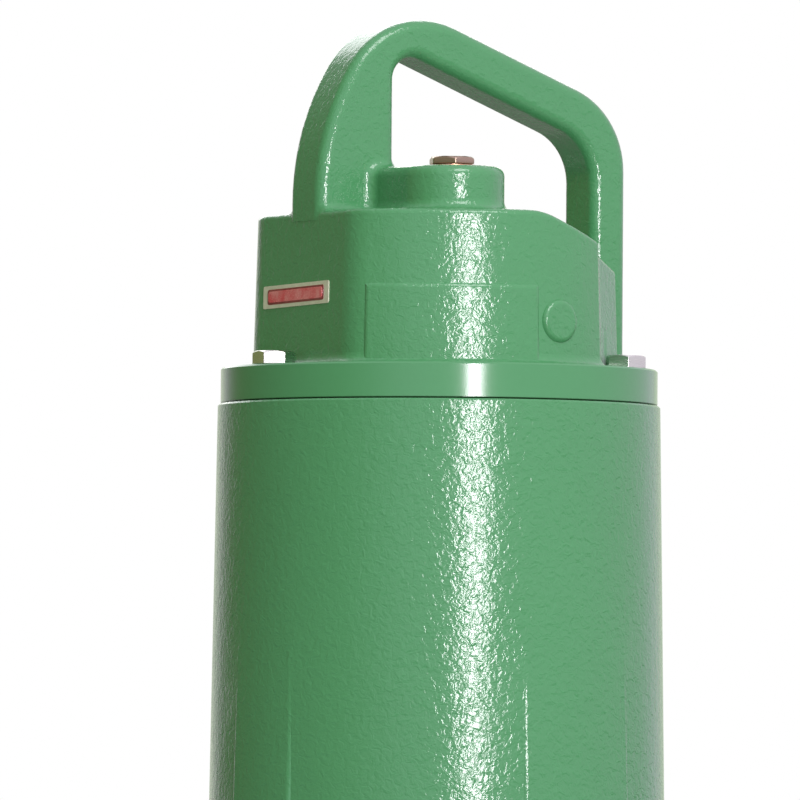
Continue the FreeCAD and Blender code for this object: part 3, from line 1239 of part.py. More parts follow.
def lifting_handle():
    """Cast handle: a thick curved leg, a sloping bar and a thin leg down to the flange."""
    body = new_body("lifting_handle", piece=False)
    outline = sketch(body, "handle_outline")
    slope = math.radians(value("handle_slope"))
    normal = V(math.sin(slope), math.cos(slope), 0)
    level = value(Z_FLANGE)
    left = -value(HANDLE_LEFT)
    crown_radius = value("handle_crown_radius")
    leg_radius = value("handle_left_radius")
    leg_centre = V(left + leg_radius, level + value("handle_left_rise"), 0)
    crown_z = level + value("handle_peak") - crown_radius
    lift = crown_z - leg_centre.y
    crown = V(leg_centre.x - math.sqrt((leg_radius - crown_radius) ** 2 - lift ** 2), crown_z, 0)
    tangent = (crown - leg_centre).normalize()
    bar = normal.dot(crown) + crown_radius

    def on_bar(x, radius, depth):
        """Centre of an arc of a radius that touches the bar's line at a depth below its top."""
        reach = bar - depth - radius
        return V(x, (reach - x * normal.x) / normal.y, 0)

    right = value(HANDLE_RIGHT)
    corner_radius = value("handle_corner_radius")
    inner_radius = value("handle_inner_radius")
    notch_radius = value("handle_notch_radius")
    bar_depth = value("handle_bar")
    right_inner = right - value("handle_right_width")
    left_inner = -value(HANDLE_LEFT_INNER)
    corner = on_bar(right - corner_radius, corner_radius, 0)
    inner = on_bar(right_inner - inner_radius, inner_radius, bar_depth)
    notch = on_bar(left_inner + notch_radius, notch_radius, bar_depth)
    base = value(Z_HEAD) - 4
    foot = level - 2
    foot_inner = right_inner - value("web_run")
    shoulder = level + value("web_start")
    web_rise = value("web_rise")

    def line(start, end):
        return outline.addGeometry(Part.LineSegment(start, end), False)

    def arc(centre, radius, first, last):
        ring = Part.Circle(centre, V(0, 0, 1), radius)
        return outline.addGeometry(Part.ArcOfCircle(ring, first, last), False)

    bar_angle = math.pi / 2 - slope
    blend_angle = math.atan2(tangent.y, tangent.x)
    leg = line(V(left, base, 0), V(left, leg_centre.y, 0))
    leg_arc = arc(leg_centre, leg_radius, blend_angle, math.pi)
    crown_arc = arc(crown, crown_radius, bar_angle, blend_angle)
    bar_line = line(crown + normal * crown_radius, corner + normal * corner_radius)
    corner_arc = arc(corner, corner_radius, 0, bar_angle)
    outer = line(V(right, corner.y, 0), V(right, foot, 0))
    toe = line(V(right, foot, 0), V(foot_inner, foot, 0))
    inside = line(V(foot_inner, foot, 0), V(foot_inner, shoulder, 0))
    web = line(V(foot_inner, shoulder, 0), V(right_inner, shoulder + web_rise, 0))
    inner_leg = line(V(right_inner, shoulder + web_rise, 0), V(right_inner, inner.y, 0))
    inner_arc = arc(inner, inner_radius, 0, bar_angle)
    under = line(inner + normal * inner_radius, notch + normal * notch_radius)
    notch_arc = arc(notch, notch_radius, bar_angle, math.pi)
    thick_inner = line(V(left_inner, notch.y, 0), V(left_inner, base, 0))
    sole = line(V(left_inner, base, 0), V(left, base, 0))
    tangents = ((leg, 2, leg_arc, 2), (leg_arc, 1, crown_arc, 2), (crown_arc, 1, bar_line, 1),
                (bar_line, 2, corner_arc, 2), (corner_arc, 1, outer, 1), (inner_leg, 2, inner_arc, 1),
                (inner_arc, 2, under, 1), (under, 2, notch_arc, 1), (notch_arc, 2, thick_inner, 1))
    joins = ((outer, 2, toe, 1), (toe, 2, inside, 1), (inside, 2, web, 1), (web, 2, inner_leg, 1),
             (thick_inner, 2, sole, 1), (sole, 2, leg, 1))
    outline.addConstraint([Sketcher.Constraint("Tangent", *ends) for ends in tangents])
    outline.addConstraint([Sketcher.Constraint("Coincident", *ends) for ends in joins])
    outline.addConstraint([Sketcher.Constraint("Vertical", item)
                           for item in (leg, outer, inside, inner_leg, thick_inner)])
    outline.addConstraint([Sketcher.Constraint("Horizontal", toe), Sketcher.Constraint("Horizontal", sole),
                           Sketcher.Constraint("Parallel", bar_line, under)])
    for item, size in ((leg_arc, "handle_left_radius"), (crown_arc, "handle_crown_radius"),
                       (corner_arc, "handle_corner_radius"), (inner_arc, "handle_inner_radius"),
                       (notch_arc, "handle_notch_radius")):
        fix(outline, "Radius", item, size=size)
    place(outline, leg, 1, f"-{HANDLE_LEFT}", f"{Z_HEAD} - 4")
    fix(outline, "DistanceY", -1, 1, leg_arc, 3, size=f"{Z_FLANGE} + handle_left_rise")
    fix(outline, "DistanceY", -1, 1, crown_arc, 3, size=f"{Z_FLANGE} + handle_peak - handle_crown_radius")
    place(outline, toe, 1, HANDLE_RIGHT, f"{Z_FLANGE} - 2")
    place(outline, web, 1, f"{HANDLE_RIGHT} - handle_right_width - web_run", f"{Z_FLANGE} + web_start")
    place(outline, inner_leg, 1, f"{HANDLE_RIGHT} - handle_right_width", f"{Z_FLANGE} + web_start + web_rise")
    fix(outline, "DistanceX", -1, 1, thick_inner, 2, size=f"-{HANDLE_LEFT_INNER}")
    index = outline.addConstraint(Sketcher.Constraint("Angle", -1, 1, bar_line, 1, -slope))
    outline.setExpression(f"Constraints[{index}]", f"-{bind('handle_slope')} * 1deg")
    fix(outline, "Distance", bar_line, 2, under, size="handle_bar")
    loop = body.newObject("PartDesign::Pad", "handle_loop")
    loop.Profile = outline
    loop.Midplane = True
    loop.setExpression("Length", bind("handle_thickness"))
    doc.recompute()
    buried = max(base, shoulder + web_rise)
    rims = edges_where(loop, lambda edge: edge.BoundBox.YLength < 0.01 and edge.BoundBox.ZMax > buried + 0.1)
    round_edges(body, "handle_rounding", loop, rims, "handle_edge_radius")
    return body


def gland_boss():
    body = new_body("gland_boss", piece=False)
    disc(body, "gland_boss_disc", "0", f"{Z_FLANGE} + gland_level", "gland_boss_radius",
         f"-{GLAND_REACH}", f"{GLAND_REACH} - {HEAD_RADIUS} + 20", role="XZ_Plane")
    return body


def cutter(name, radius, height, x, y, z, turned_to=None):
    """A round cutting tool for the cover's holes."""
    tool = doc.addObject("Part::Cylinder", name)
    tool.Placement = FreeCAD.Placement(V(0, 0, 0), turned_to or FreeCAD.Rotation())
    tool.setExpression("Radius", bind(radius))
    tool.setExpression("Height", bind(height))
    for axis, size in (("x", x), ("y", y), ("z", z)):
        tool.setExpression(f"Placement.Base.{axis}", bind(size))
    return tool


def cover_seams(shape):
    """The edges along which head, boss and thick leg stand on what is below them, each with its radius."""
    half = "handle_thickness / 2"
    side = f"{HEAD_RADIUS} + pad_proud"
    boss_left = f"-{BOSS_OFFSET} - boss_width / 2"
    spans = (
        (f"-({side})", HEAD_END, f"-({side})", side, Z_FLANGE, Z_FLANGE),
        (boss_left, f"{boss_left} + boss_width", "-boss_front - boss_width / 2", "boss_back + boss_width / 2",
         f"{Z_HEAD} - 1", Z_HEAD),
        (f"-{HANDLE_LEFT}", boss_left, f"-{half}", half, Z_HEAD, Z_HEAD),
        (boss_left, f"-{HANDLE_LEFT_INNER}", f"-{half}", half, Z_HEAD, Z_BOSS),
    )
    boxes = []
    for span in spans:
        x_low, x_high, y_low, y_high, z_low, z_high = [value(size) for size in span]
        box = FreeCAD.BoundBox(x_low, y_low, z_low, x_high, y_high, z_high)
        box.enlarge(0.1)
        boxes.append(box)
    hidden = value(f"{COVER_SPIGOT} - cover_spigot_wall + 1")

    radii = value("flange_seam_radius"), value("boss_seam_radius")
    seams = []
    for number, edge in enumerate(shape.Edges, 1):
        spots = [edge.valueAt(edge.FirstParameter + part * (edge.LastParameter - edge.FirstParameter))
                 for part in (0, 0.5, 1)]
        if all(boxes[0].isInside(spot) for spot in spots):
            if math.hypot(spots[1].x, spots[1].y) > hidden:
                seams.append((number, radii[0], radii[0]))
        elif any(all(box.isInside(spot) for spot in spots) for box in boxes[1:]):
            seams.append((number, radii[1], radii[1]))
    return seams


def motor_cover():
    """The one-piece cover casting: flange, terminal head, boss, pads and lifting handle, then its bores."""
    blank = doc.addObject("Part::MultiFuse", "cover_blank")
    blank.Shapes = [cover_casting(), cover_head(), top_boss(), lifting_handle(), gland_boss()]
    blank.Refine = True
    doc.recompute()
    filled = doc.addObject("Part::Fillet", "cover_seams")
    filled.Base = blank
    filled.Edges = cover_seams(blank.Shape)
    solid = doc.addObject("Part::MultiFuse", "cover_solid")
    solid.Shapes = [filled] + raised_pads()
    spigot_low = f"({Z_CARRIER} + carrier_thickness)"
    level = f"({Z_FLANGE} + gland_level)"
    to_front = FreeCAD.Rotation(V(1, 0, 0), 90)
    cavity = "head_cavity_radius"
    tools = [
        cutter("head_cavity", cavity, f"{Z_FLANGE} + head_cavity_height - {spigot_low}", "0", "0",
               spigot_low),
        cutter("gland_seat", "gland_seat_radius + fit_gap", "gland_seat_depth", "0", GLAND_REACH,
               level, to_front),
        cutter("gland_way", "gland_way_radius", f"{GLAND_REACH} - {cavity} + 10", "0", GLAND_REACH,
               level, to_front),
        cutter("plug_hole", "plug_thread / 2 + fit_gap", "plug_length + 4", f"-{BOSS_OFFSET}", "-boss_front",
               f"{Z_BOSS} - plug_length - 4"),
    ]
    for number in range(3):
        angle = f"(cover_screw_angle + {number} * (180 - cover_screw_angle))"
        tools.append(cutter(f"cover_screw_hole_{number}", "(coarse_thread_diameter + hole_clearance) / 2",
                            "cover_flange_thickness", f"{COVER_PITCH} * cos({angle})",
                            f"{COVER_PITCH} * sin({angle})", Z_COVER))
        tools.append(cutter(f"cover_spot_face_{number}", "coarse_head_width * 0.64", "3 * coarse_head_height",
                            f"{COVER_PITCH} * cos({angle})", f"{COVER_PITCH} * sin({angle})",
                            Z_FLANGE))
    cuts = doc.addObject("Part::MultiFuse", "cover_cuts")
    cuts.Shapes = tools
    cover = doc.addObject("Part::Cut", "motor_cover")
    cover.Base = solid
    cover.Tool = cuts
    cover.Refine = True
    cover.Label = "motor_cover"
    pieces.append(cover)
    hex_screws("cover_screws", COVER_PITCH, Z_FLANGE, "cover_flange_thickness + ledge_depth - 6",
               "coarse_thread_diameter", "coarse_head_width", "coarse_head_height", "3",
               start="cover_screw_angle", spread="360 - 2 * cover_screw_angle")


def inspection_plug():
    """Hexagon plug in the boss's front end, on its sealing ring."""
    washer = new_body("plug_washer")
    disc(washer, "plug_washer_disc", f"-{BOSS_OFFSET}", "-boss_front", "plug_washer_radius", Z_BOSS,
         "plug_washer_thickness")
    disc(washer, "plug_washer_hole", f"-{BOSS_OFFSET}", "-boss_front", "plug_thread / 2 + fit_gap", Z_BOSS,
         "plug_washer_thickness", "Pocket", back=True)
    seat = f"({Z_BOSS} + plug_washer_thickness)"
    plug = new_body("inspection_plug")
    outline = sketch(plug, "plug_hexagon", "XY_Plane", seat)
    hexagon(outline, f"-{BOSS_OFFSET}", "-boss_front", "plug_width")
    extrude(plug, "plug_head", outline, "plug_height")
    disc(plug, "plug_shank", f"-{BOSS_OFFSET}", "-boss_front", "plug_thread / 2", seat, "plug_length",
         back=True)


def cable_gland():
    """Cable gland at the back: a rubber bush between two washers, pressed by a hollow hexagon nut."""
    level = f"{Z_FLANGE} + gland_level"
    outer = "gland_seat_radius"
    start = f"({GLAND_REACH} - gland_seat_depth)"

    def ring(body, name, radius, hole, near, length):
        disc(body, name, "0", level, radius, f"-{near} - {length}", length, role="XZ_Plane")
        disc(body, name + "_bore", "0", level, hole, f"-{near} - {length}", length, "Pocket", back=True,
             role="XZ_Plane")

    wide = "gland_cable_radius + 1"
    bush_start = f"({start} + gland_washer_thickness)"
    second = f"({bush_start} + gland_bush_length)"
    ring(new_body("inner_gland_washer"), "inner_gland_washer_disc", outer, wide, start,
         "gland_washer_thickness")
    ring(new_body("gland_bush"), "gland_bush_disc", outer, "gland_cable_radius", bush_start,
         "gland_bush_length")
    ring(new_body("outer_gland_washer"), "outer_gland_washer_disc", outer, wide, second,
         "gland_washer_thickness")
    nut = new_body("gland_nut")
    nut_start = f"({second} + gland_washer_thickness)"
    outline = sketch(nut, "gland_nut_hexagon", "XZ_Plane", f"-{GLAND_REACH} - gland_nut_height")
    hexagon(outline, "0", level, "gland_nut_width")
    extrude(nut, "gland_nut_head", outline, "gland_nut_height")
    disc(nut, "gland_nut_shank", "0", level, outer, f"-{GLAND_REACH}", f"{GLAND_REACH} - {nut_start}",
         role="XZ_Plane")
    disc(nut, "gland_nut_bore", "0", level, wide, f"-{GLAND_REACH} - gland_nut_height",
         "gland_seat_depth + gland_nut_height", "Pocket", back=True, role="XZ_Plane")


suction_cover()
volute()
stand()
hub_low, hub_top = impeller()
shaft(hub_low, hub_top)
ball_bearing("lower", Z_LOWER)
ball_bearing("upper", Z_UPPER)
seal_housing()
shaft_seals()
bearing_bracket()
motor_housing()
motor()
upper_carrier()
motor_cover()
inspection_plug()
cable_gland()
doc.recompute()

for item in doc.Objects:
    if "Invalid" in item.State or "Error" in item.State:
        raise RuntimeError(f"{item.Name} failed: {item.State}")
os.makedirs("parts", exist_ok=True)
for piece in pieces:
    shape = piece.Shape
    if shape.isNull() or not shape.isValid():
        raise RuntimeError(f"{piece.Label} has no valid shape")
    shape.exportStep(f"parts/{piece.Label}.step")
    box = shape.BoundBox
    print(f"{piece.Label}: {len(shape.Solids)} solids, {shape.Volume / 1000:.1f} cm3,",
          f"z {box.ZMin:.1f} to {box.ZMax:.1f}")
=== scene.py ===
import math

import bpy
from mathutils import Matrix, Vector
from mathutils.bvhtree import BVHTree


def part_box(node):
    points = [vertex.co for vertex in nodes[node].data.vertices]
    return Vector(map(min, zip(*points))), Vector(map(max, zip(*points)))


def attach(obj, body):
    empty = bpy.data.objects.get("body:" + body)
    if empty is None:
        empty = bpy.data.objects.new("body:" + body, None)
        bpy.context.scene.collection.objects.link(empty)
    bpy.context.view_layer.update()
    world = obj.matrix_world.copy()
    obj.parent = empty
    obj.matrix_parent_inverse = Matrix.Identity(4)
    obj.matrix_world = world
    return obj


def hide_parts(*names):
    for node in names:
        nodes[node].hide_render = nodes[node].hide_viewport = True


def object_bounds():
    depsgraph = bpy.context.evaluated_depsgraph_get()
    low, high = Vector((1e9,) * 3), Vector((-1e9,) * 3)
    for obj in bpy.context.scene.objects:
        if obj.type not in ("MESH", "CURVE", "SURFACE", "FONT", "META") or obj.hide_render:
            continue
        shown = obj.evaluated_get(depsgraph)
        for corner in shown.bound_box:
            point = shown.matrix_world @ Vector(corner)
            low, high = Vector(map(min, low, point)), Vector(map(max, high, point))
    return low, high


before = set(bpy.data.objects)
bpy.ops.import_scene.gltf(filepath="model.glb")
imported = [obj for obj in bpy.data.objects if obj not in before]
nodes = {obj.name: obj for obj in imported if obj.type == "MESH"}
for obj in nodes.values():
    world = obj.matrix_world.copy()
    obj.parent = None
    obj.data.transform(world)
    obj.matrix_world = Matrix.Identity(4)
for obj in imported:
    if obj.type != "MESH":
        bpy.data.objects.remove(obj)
cad_low, cad_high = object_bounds()
scene = bpy.context.scene
scene.view_settings.view_transform = "Standard"

# The view: the photograph shows the upper part of the pump from the front left and a little from below,
# through a long lens, so that the barrel's sides stay parallel.
TURN = math.radians(-30)
TILT = math.radians(-2.05)
ROLL = math.radians(0.36)
DISTANCE = 6.0
PICTURE_WIDTH = 0.3662
CENTRE_HEIGHT = 0.4725
CENTRE_SIDE = -0.0179

to_camera = Vector((math.sin(TURN) * math.cos(TILT), -math.cos(TURN) * math.cos(TILT), math.sin(TILT)))
to_right = Vector((math.cos(TURN), math.sin(TURN), 0))
to_top = to_camera.cross(to_right)
target = Vector((0, 0, CENTRE_HEIGHT)) + to_right * CENTRE_SIDE
lens = bpy.data.cameras.new("camera")
lens.sensor_width = 36
lens.lens = lens.sensor_width * DISTANCE / PICTURE_WIDTH
lens.clip_end = 40
camera = bpy.data.objects.new("camera", lens)
scene.collection.objects.link(camera)
upright = Matrix((to_right, to_top, to_camera)).transposed()
camera.matrix_world = (Matrix.Translation(target + to_camera * DISTANCE) @ upright.to_4x4()
                       @ Matrix.Rotation(ROLL, 4, "Z"))
scene.camera = camera


# The light: one tall strip to the right of the camera, a large soft panel above it and a weak one behind
# the pump. All three face the middle of what the photograph shows.
def softbox(name, side, distance, height, size, radiance, tint):
    """A rectangular lamp, side degrees to the right of the camera, aimed at the pump's axis."""
    lamp = bpy.data.lights.new(name, "AREA")
    lamp.shape = "RECTANGLE"
    lamp.size, lamp.size_y = size
    lamp.energy = radiance * math.pi * size[0] * size[1]
    lamp.color = tint
    angle = TURN + math.radians(side)
    place = Vector((math.sin(angle) * distance, -math.cos(angle) * distance, height))
    holder = bpy.data.objects.new(name, lamp)
    scene.collection.objects.link(holder)
    aim = Vector((0, 0, CENTRE_HEIGHT)) - place
    holder.matrix_world = Matrix.Translation(place) @ aim.to_track_quat("-Z", "Y").to_matrix().to_4x4()


softbox("strip_light", side=18, distance=2.2, height=0.62, size=(0.30, 0.8), radiance=35.0,
        tint=(1.0, 0.94, 1.0))
softbox("overhead_panel", side=26, distance=2.2, height=3.1, size=(1.6, 1.6), radiance=7.8,
        tint=(1.02, 1.0, 1.05))
softbox("back_panel", side=190, distance=2.5, height=1.9, size=(2.0, 2.0), radiance=2.2,
        tint=(1.0, 1.0, 1.0))

# The room: an even dim light for whatever is matt, and for what mirrors it a dark left side, a pale right
# side and the white backdrop behind the pump. The camera sees plain white.
FULL_SPAN = (0.0, 1.0)


def add_node(tree, kind, sockets=None, **settings):
    """A shader node: its settings, then its sockets, each a number or the output that feeds it."""
    made = tree.nodes.new("ShaderNode" + kind)
    for name, setting in settings.items():
        setattr(made, name, setting)
    for key, source in (sockets or {}).items():
        if isinstance(source, bpy.types.NodeSocket):
            tree.links.new(source, made.inputs[key])
        else:
            made.inputs[key].default_value = source
    return made


def blend(tree, share, first, second):
    """A colour that goes over from the first to the second as the share goes from 0 to 1."""
    return add_node(tree, "Mix", {"Factor": share, 6: first, 7: second}, data_type="RGBA").outputs[2]


def calculate(tree, operation, *values):
    """What one calculation makes of the values."""
    return add_node(tree, "Math", dict(enumerate(values)), operation=operation).outputs[0]


def rescale(tree, value, span, onto=FULL_SPAN, **settings):
    """A value's span laid onto another one. Values outside the span are held at its ends."""
    ends = {"From Min": span[0], "From Max": span[1], "To Min": onto[0], "To Max": onto[1]}
    return add_node(tree, "MapRange", {"Value": value, **ends}, **settings).outputs[0]


ROOM_LIGHT = (0.42, 0.42, 0.336, 1)
DARK_SIDE = (0.25, 0.28, 0.11, 1)
PALE_SIDE = (1.07, 0.93, 1.15, 1)
BACKDROP = (0.88, 0.93, 0.79, 1)
WHITE = (1, 1, 1, 1)
DARK_TO_PALE = (-0.85, -0.2)
SIDES_TO_BACKDROP = (0.86, 0.96)
room = bpy.data.worlds.new("room")
scene.world = room
room.use_nodes = True
tree = room.node_tree
tree.nodes.clear()
rays = add_node(tree, "LightPath")
toward = add_node(tree, "TexCoord").outputs["Generated"]
rightward = add_node(tree, "VectorMath", {0: toward, 1: to_right}, operation="DOT_PRODUCT")
backward = add_node(tree, "VectorMath", {0: toward, 1: -to_camera}, operation="DOT_PRODUCT")
pale_share = rescale(tree, rightward.outputs["Value"], DARK_TO_PALE, interpolation_type="SMOOTHSTEP")
back_share = rescale(tree, backward.outputs["Value"], SIDES_TO_BACKDROP, interpolation_type="SMOOTHSTEP")
sides = blend(tree, pale_share, DARK_SIDE, PALE_SIDE)
mirrored = blend(tree, back_share, sides, BACKDROP)
sharp = calculate(tree, "MAXIMUM", rays.outputs["Is Glossy Ray"], rays.outputs["Is Transmission Ray"])
around = blend(tree, sharp, ROOM_LIGHT, mirrored)
seen = blend(tree, rays.outputs["Is Camera Ray"], around, WHITE)
glow = add_node(tree, "Background", {"Color": seen, "Strength": 1.0})
add_node(tree, "OutputWorld", {"Surface": glow.outputs[0]})

# The floor under the stand's feet: plain and pale. It takes the pump's shadow, goes over into the white of
# the backdrop further out, and doesn't hide the pump from below.
FLOOR_REACH = 8.0
FLOOR_SEEN = (0.88, 0.88, 0.94, 1)
FLOOR_BOUNCE = (0.35, 0.35, 0.35, 1)
FLOOR_TO_BACKDROP = (0.35, 1.3)
bpy.ops.mesh.primitive_circle_add(vertices=96, radius=FLOOR_REACH, fill_type="NGON",
                                  location=(0, 0, cad_low[2]))
floor = bpy.context.object
floor.name = "floor"
floor_finish = bpy.data.materials.new("pale_floor")
floor_finish.use_nodes = True
tree = floor_finish.node_tree
tree.nodes.clear()
by_camera = add_node(tree, "LightPath").outputs["Is Camera Ray"]
matt = add_node(tree, "BsdfDiffuse", {"Color": blend(tree, by_camera, FLOOR_BOUNCE, FLOOR_SEEN)})
white = add_node(tree, "Emission", {"Color": WHITE, "Strength": 1.0})
outward = add_node(tree, "VectorMath", {0: add_node(tree, "TexCoord").outputs["Object"]}, operation="LENGTH")
far = rescale(tree, outward.outputs["Value"], FLOOR_TO_BACKDROP, interpolation_type="SMOOTHSTEP")
faded = calculate(tree, "MULTIPLY", far, by_camera)
ground = add_node(tree, "MixShader", {0: faded, 1: matt.outputs[0], 2: white.outputs[0]})
below = add_node(tree, "NewGeometry").outputs["Backfacing"]
open_below = calculate(tree, "MULTIPLY", below, by_camera)
clear = add_node(tree, "BsdfTransparent")
ground = add_node(tree, "MixShader", {0: open_below, 1: ground.outputs[0], 2: clear.outputs[0]})
add_node(tree, "OutputMaterial", {"Surface": ground.outputs[0]})
floor.data.materials.append(floor_finish)


# Suction cover: a grey iron casting that closes the pump chamber from below. It is fettled, turned where it
# seats, and enamelled with the other castings. Its mouth is where the liquid comes in.
def clouds(tree, where, per_metre, detail=2.0, roughness=0.5, distortion=0.0):
    """A cloudy pattern in a piece, with about so many clouds to the metre."""
    looks = {"Scale": per_metre, "Detail": detail, "Roughness": roughness, "Distortion": distortion}
    return add_node(tree, "TexNoise", {"Vector": where, **looks}).outputs["Fac"]


def cast_skin_group():
    """Height and shade of enamel on a sand casting: soft lumps some millimetres wide, with finer grain."""
    group = bpy.data.node_groups.new("cast_skin", "ShaderNodeTree")
    for name, start in (("Grain per metre", 310.0), ("Fine share", 0.12)):
        socket = group.interface.new_socket(name, in_out="INPUT", socket_type="NodeSocketFloat")
        socket.default_value = start
    for name in ("Height", "Shade"):
        group.interface.new_socket(name, in_out="OUTPUT", socket_type="NodeSocketFloat")
    entry = group.nodes.new("NodeGroupInput")
    leave = group.nodes.new("NodeGroupOutput")
    where = add_node(group, "TexCoord").outputs["Object"]
    lumps = clouds(group, where, entry.outputs["Grain per metre"], roughness=0.55, distortion=0.8)
    fine = clouds(group, where, calculate(group, "MULTIPLY", entry.outputs["Grain per metre"], 3.3))
    height = add_node(group, "Mix", {"Factor": entry.outputs["Fine share"], 2: lumps, 3: fine})
    broad = clouds(group, where, 9.0, detail=3.0, roughness=0.6)
    shade = add_node(group, "Mix", {"Factor": 0.25, 2: broad, 3: lumps})
    group.links.new(height.outputs[0], leave.inputs["Height"])
    group.links.new(shade.outputs[0], leave.inputs["Shade"])
    return group


CAST_SKIN = cast_skin_group()
CLOUD_SPAN = (0.3, 0.7)
PAINT_DEEP = (0.065, 0.252, 0.103, 1)
PAINT_LIGHT = (0.080, 0.294, 0.126, 1)
# Painted shade for the joint under the cover's flange: a near black green laid into the paint there.
PAINTED_JOINT_SHADE = (0.012, 0.040, 0.014, 1)


def new_finish(name, metallic=0.0):
    """A new material and its node tree."""
    finish = bpy.data.materials.new(name)
    finish.use_nodes = True
    finish.node_tree.nodes["Principled BSDF"].inputs["Metallic"].default_value = metallic
    return finish, finish.node_tree


def coat(tree, colour, gloss, height, strength, depth):
    """Feeds a finish's shader with its colour, its roughness and the bumps that its height makes."""
    shader = tree.nodes["Principled BSDF"]
    relief = add_node(tree, "Bump", {"Height": height, "Strength": strength, "Distance": depth})
    tree.links.new(colour, shader.inputs["Base Color"])
    tree.links.new(gloss, shader.inputs["Roughness"])
    tree.links.new(relief.outputs[0], shader.inputs["Normal"])


def enamel(name, grain, depth, smooth=None, painted_shade=None):
    """Green enamel on a casting's skin. smooth gives a mask of machined iron under it; the second mask gives
    painted shade on it, a near black green.
    """
    paint, tree = new_finish(name)
    skin = add_node(tree, "Group", node_tree=CAST_SKIN)
    skin.inputs["Grain per metre"].default_value = grain
    colour = blend(tree, skin.outputs["Shade"], PAINT_DEEP, PAINT_LIGHT)
    # Painted shade: the colour goes over to a near black green where the mask is one.
    if painted_shade is not None:
        colour = blend(tree, painted_shade(tree), colour, PAINTED_JOINT_SHADE)
    gloss = rescale(tree, skin.outputs["Shade"], CLOUD_SPAN, (0.13, 0.18))
    height = skin.outputs["Height"]
    if smooth is not None:
        height = calculate(tree, "MULTIPLY", height, calculate(tree, "SUBTRACT", 1.0, smooth(tree)))
    coat(tree, colour, gloss, height, strength=1.0, depth=depth)
    return paint


def clear_selection():
    """Leaves nothing selected and Blender in object mode."""
    if bpy.context.object is not None and bpy.context.object.mode != "OBJECT":
        bpy.ops.object.mode_set(mode="OBJECT")
    bpy.ops.object.select_all(action="DESELECT")


def take_up(piece):
    """Makes a piece the selected and active one."""
    clear_selection()
    piece.select_set(True)
    bpy.context.view_layer.objects.active = piece


def round_edges(piece, width, sharp=35):
    """Rounds a piece's edges that turn by more than sharp degrees, and lets its faces shade as one."""
    take_up(piece)
    rounding = piece.modifiers.new("rounding", "BEVEL")
    rounding.width = width
    rounding.segments = 2
    rounding.limit_method = "ANGLE"
    rounding.angle_limit = math.radians(sharp)
    rounding.use_clamp_overlap = False
    bpy.ops.object.modifier_apply(modifier=rounding.name)
    shade_flats(piece)


def shade_flats(piece):
    """Lets a piece's rounded edges shade smoothly while its flat faces stay flat."""
    take_up(piece)
    bpy.ops.object.shade_smooth_by_angle(angle=math.radians(40))
    weighting = piece.modifiers.new("weighting", "WEIGHTED_NORMAL")
    weighting.keep_sharp = True
    bpy.ops.object.modifier_apply(modifier=weighting.name)


def settle(piece, finish, slot, body, *stands_for):
    """Gives a finished piece its material, its body and the nodes that it stands for."""
    piece.data.materials.clear()
    piece.data.materials.append(finish)
    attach(piece, body)
    if stands_for:
        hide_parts(*stands_for)


def eased(node, name, width, finish, slot="green_paint", body="housing"):
    """A node's piece once more with its edges rounded, as fettling or a file leaves them. Where the rounding
    throws a point out of the piece's skin, the point goes back to the skin."""
    same_point = 0.000002
    flat_enough = math.radians(0.6)
    piece = bpy.data.objects.new(name, nodes[node].data.copy())
    scene.collection.objects.link(piece)
    take_up(piece)
    bpy.ops.mesh.customdata_custom_splitnormals_clear()
    bpy.ops.object.mode_set(mode="EDIT")
    bpy.ops.mesh.select_all(action="SELECT")
    bpy.ops.mesh.remove_doubles(threshold=same_point)
    bpy.ops.mesh.dissolve_limited(angle_limit=flat_enough)
    bpy.ops.object.mode_set(mode="OBJECT")
    skin = BVHTree.FromPolygons([point.co.copy() for point in piece.data.vertices],
                                [face.vertices[:] for face in piece.data.polygons])
    round_edges(piece, width)
    for point in piece.data.vertices:
        nearest, _, _, gap = skin.find_nearest(point.co)
        if gap > width * 0.5:
            point.co = nearest
    shade_flats(piece)
    settle(piece, finish, slot, body, node)
    return piece


wet_end_paint = enamel("wet_end_enamel", grain=300.0, depth=0.00048)
eased("suction_cover", "suction_cover_casting", 0.0012, wet_end_paint)


# Seal rings: round cords of nitrile rubber, moulded as rings. They lie in grooves between the castings, and
# the screws squeeze them.
def dress(names, finish):
    """Gives a finish to the nodes of that name."""
    for name in names.split():
        slots = nodes[name].material_slots
        if not slots:
            nodes[name].data.materials.append(finish)
        for place in slots:
            place.material = finish


def toned(colour, share=1.0):
    """A colour made darker or paler by a share, for a socket."""
    return tuple(channel * share for channel in colour) + (1,)


def moulded_rubber(name, colour):
    """Black rubber: matt, a little bloomed with grey, with the fine grain of its mould."""
    rubber, tree = new_finish(name)
    where = add_node(tree, "TexCoord").outputs["Object"]
    bloom = clouds(tree, where, 220.0, detail=4.0, roughness=0.6)
    shade = blend(tree, bloom, toned(colour), toned(colour, 1.9))
    grain = clouds(tree, where, 2400.0)
    coat(tree, shade, rescale(tree, bloom, CLOUD_SPAN, (0.48, 0.66)), grain, strength=0.6, depth=0.00004)
    return rubber


nitrile = moulded_rubber("nitrile_rubber", (0.016, 0.016, 0.017))
dress("suction_seal_ring volute_seal_ring cover_seal_ring", nitrile)

# Stand: a cast iron ring on four raked legs with drilled feet, screwed up into the pump chamber's lugs and
# painted with it.
eased("stand", "stand_casting", 0.0005, wet_end_paint)

# Pump chamber: a spiral grey iron casting, machined at its flanges. The liquid leaves through the flanged
# nozzle on its side.
eased("volute", "volute_casting", 0.0006, wet_end_paint)


# Chamber end wall: the part of the same casting that closes the spiral's last section round the nozzle's
# bore. It lies just inside the spiral's end face and is painted with it.
def work_with(piece, tool, operation):
    """Takes a tool's shape out of a piece, or keeps only what lies in it, and puts the tool away."""
    take_up(piece)
    working = piece.modifiers.new("working", "BOOLEAN")
    working.operation = operation
    working.object = tool
    bpy.ops.object.modifier_apply(modifier=working.name)
    bpy.data.objects.remove(tool)


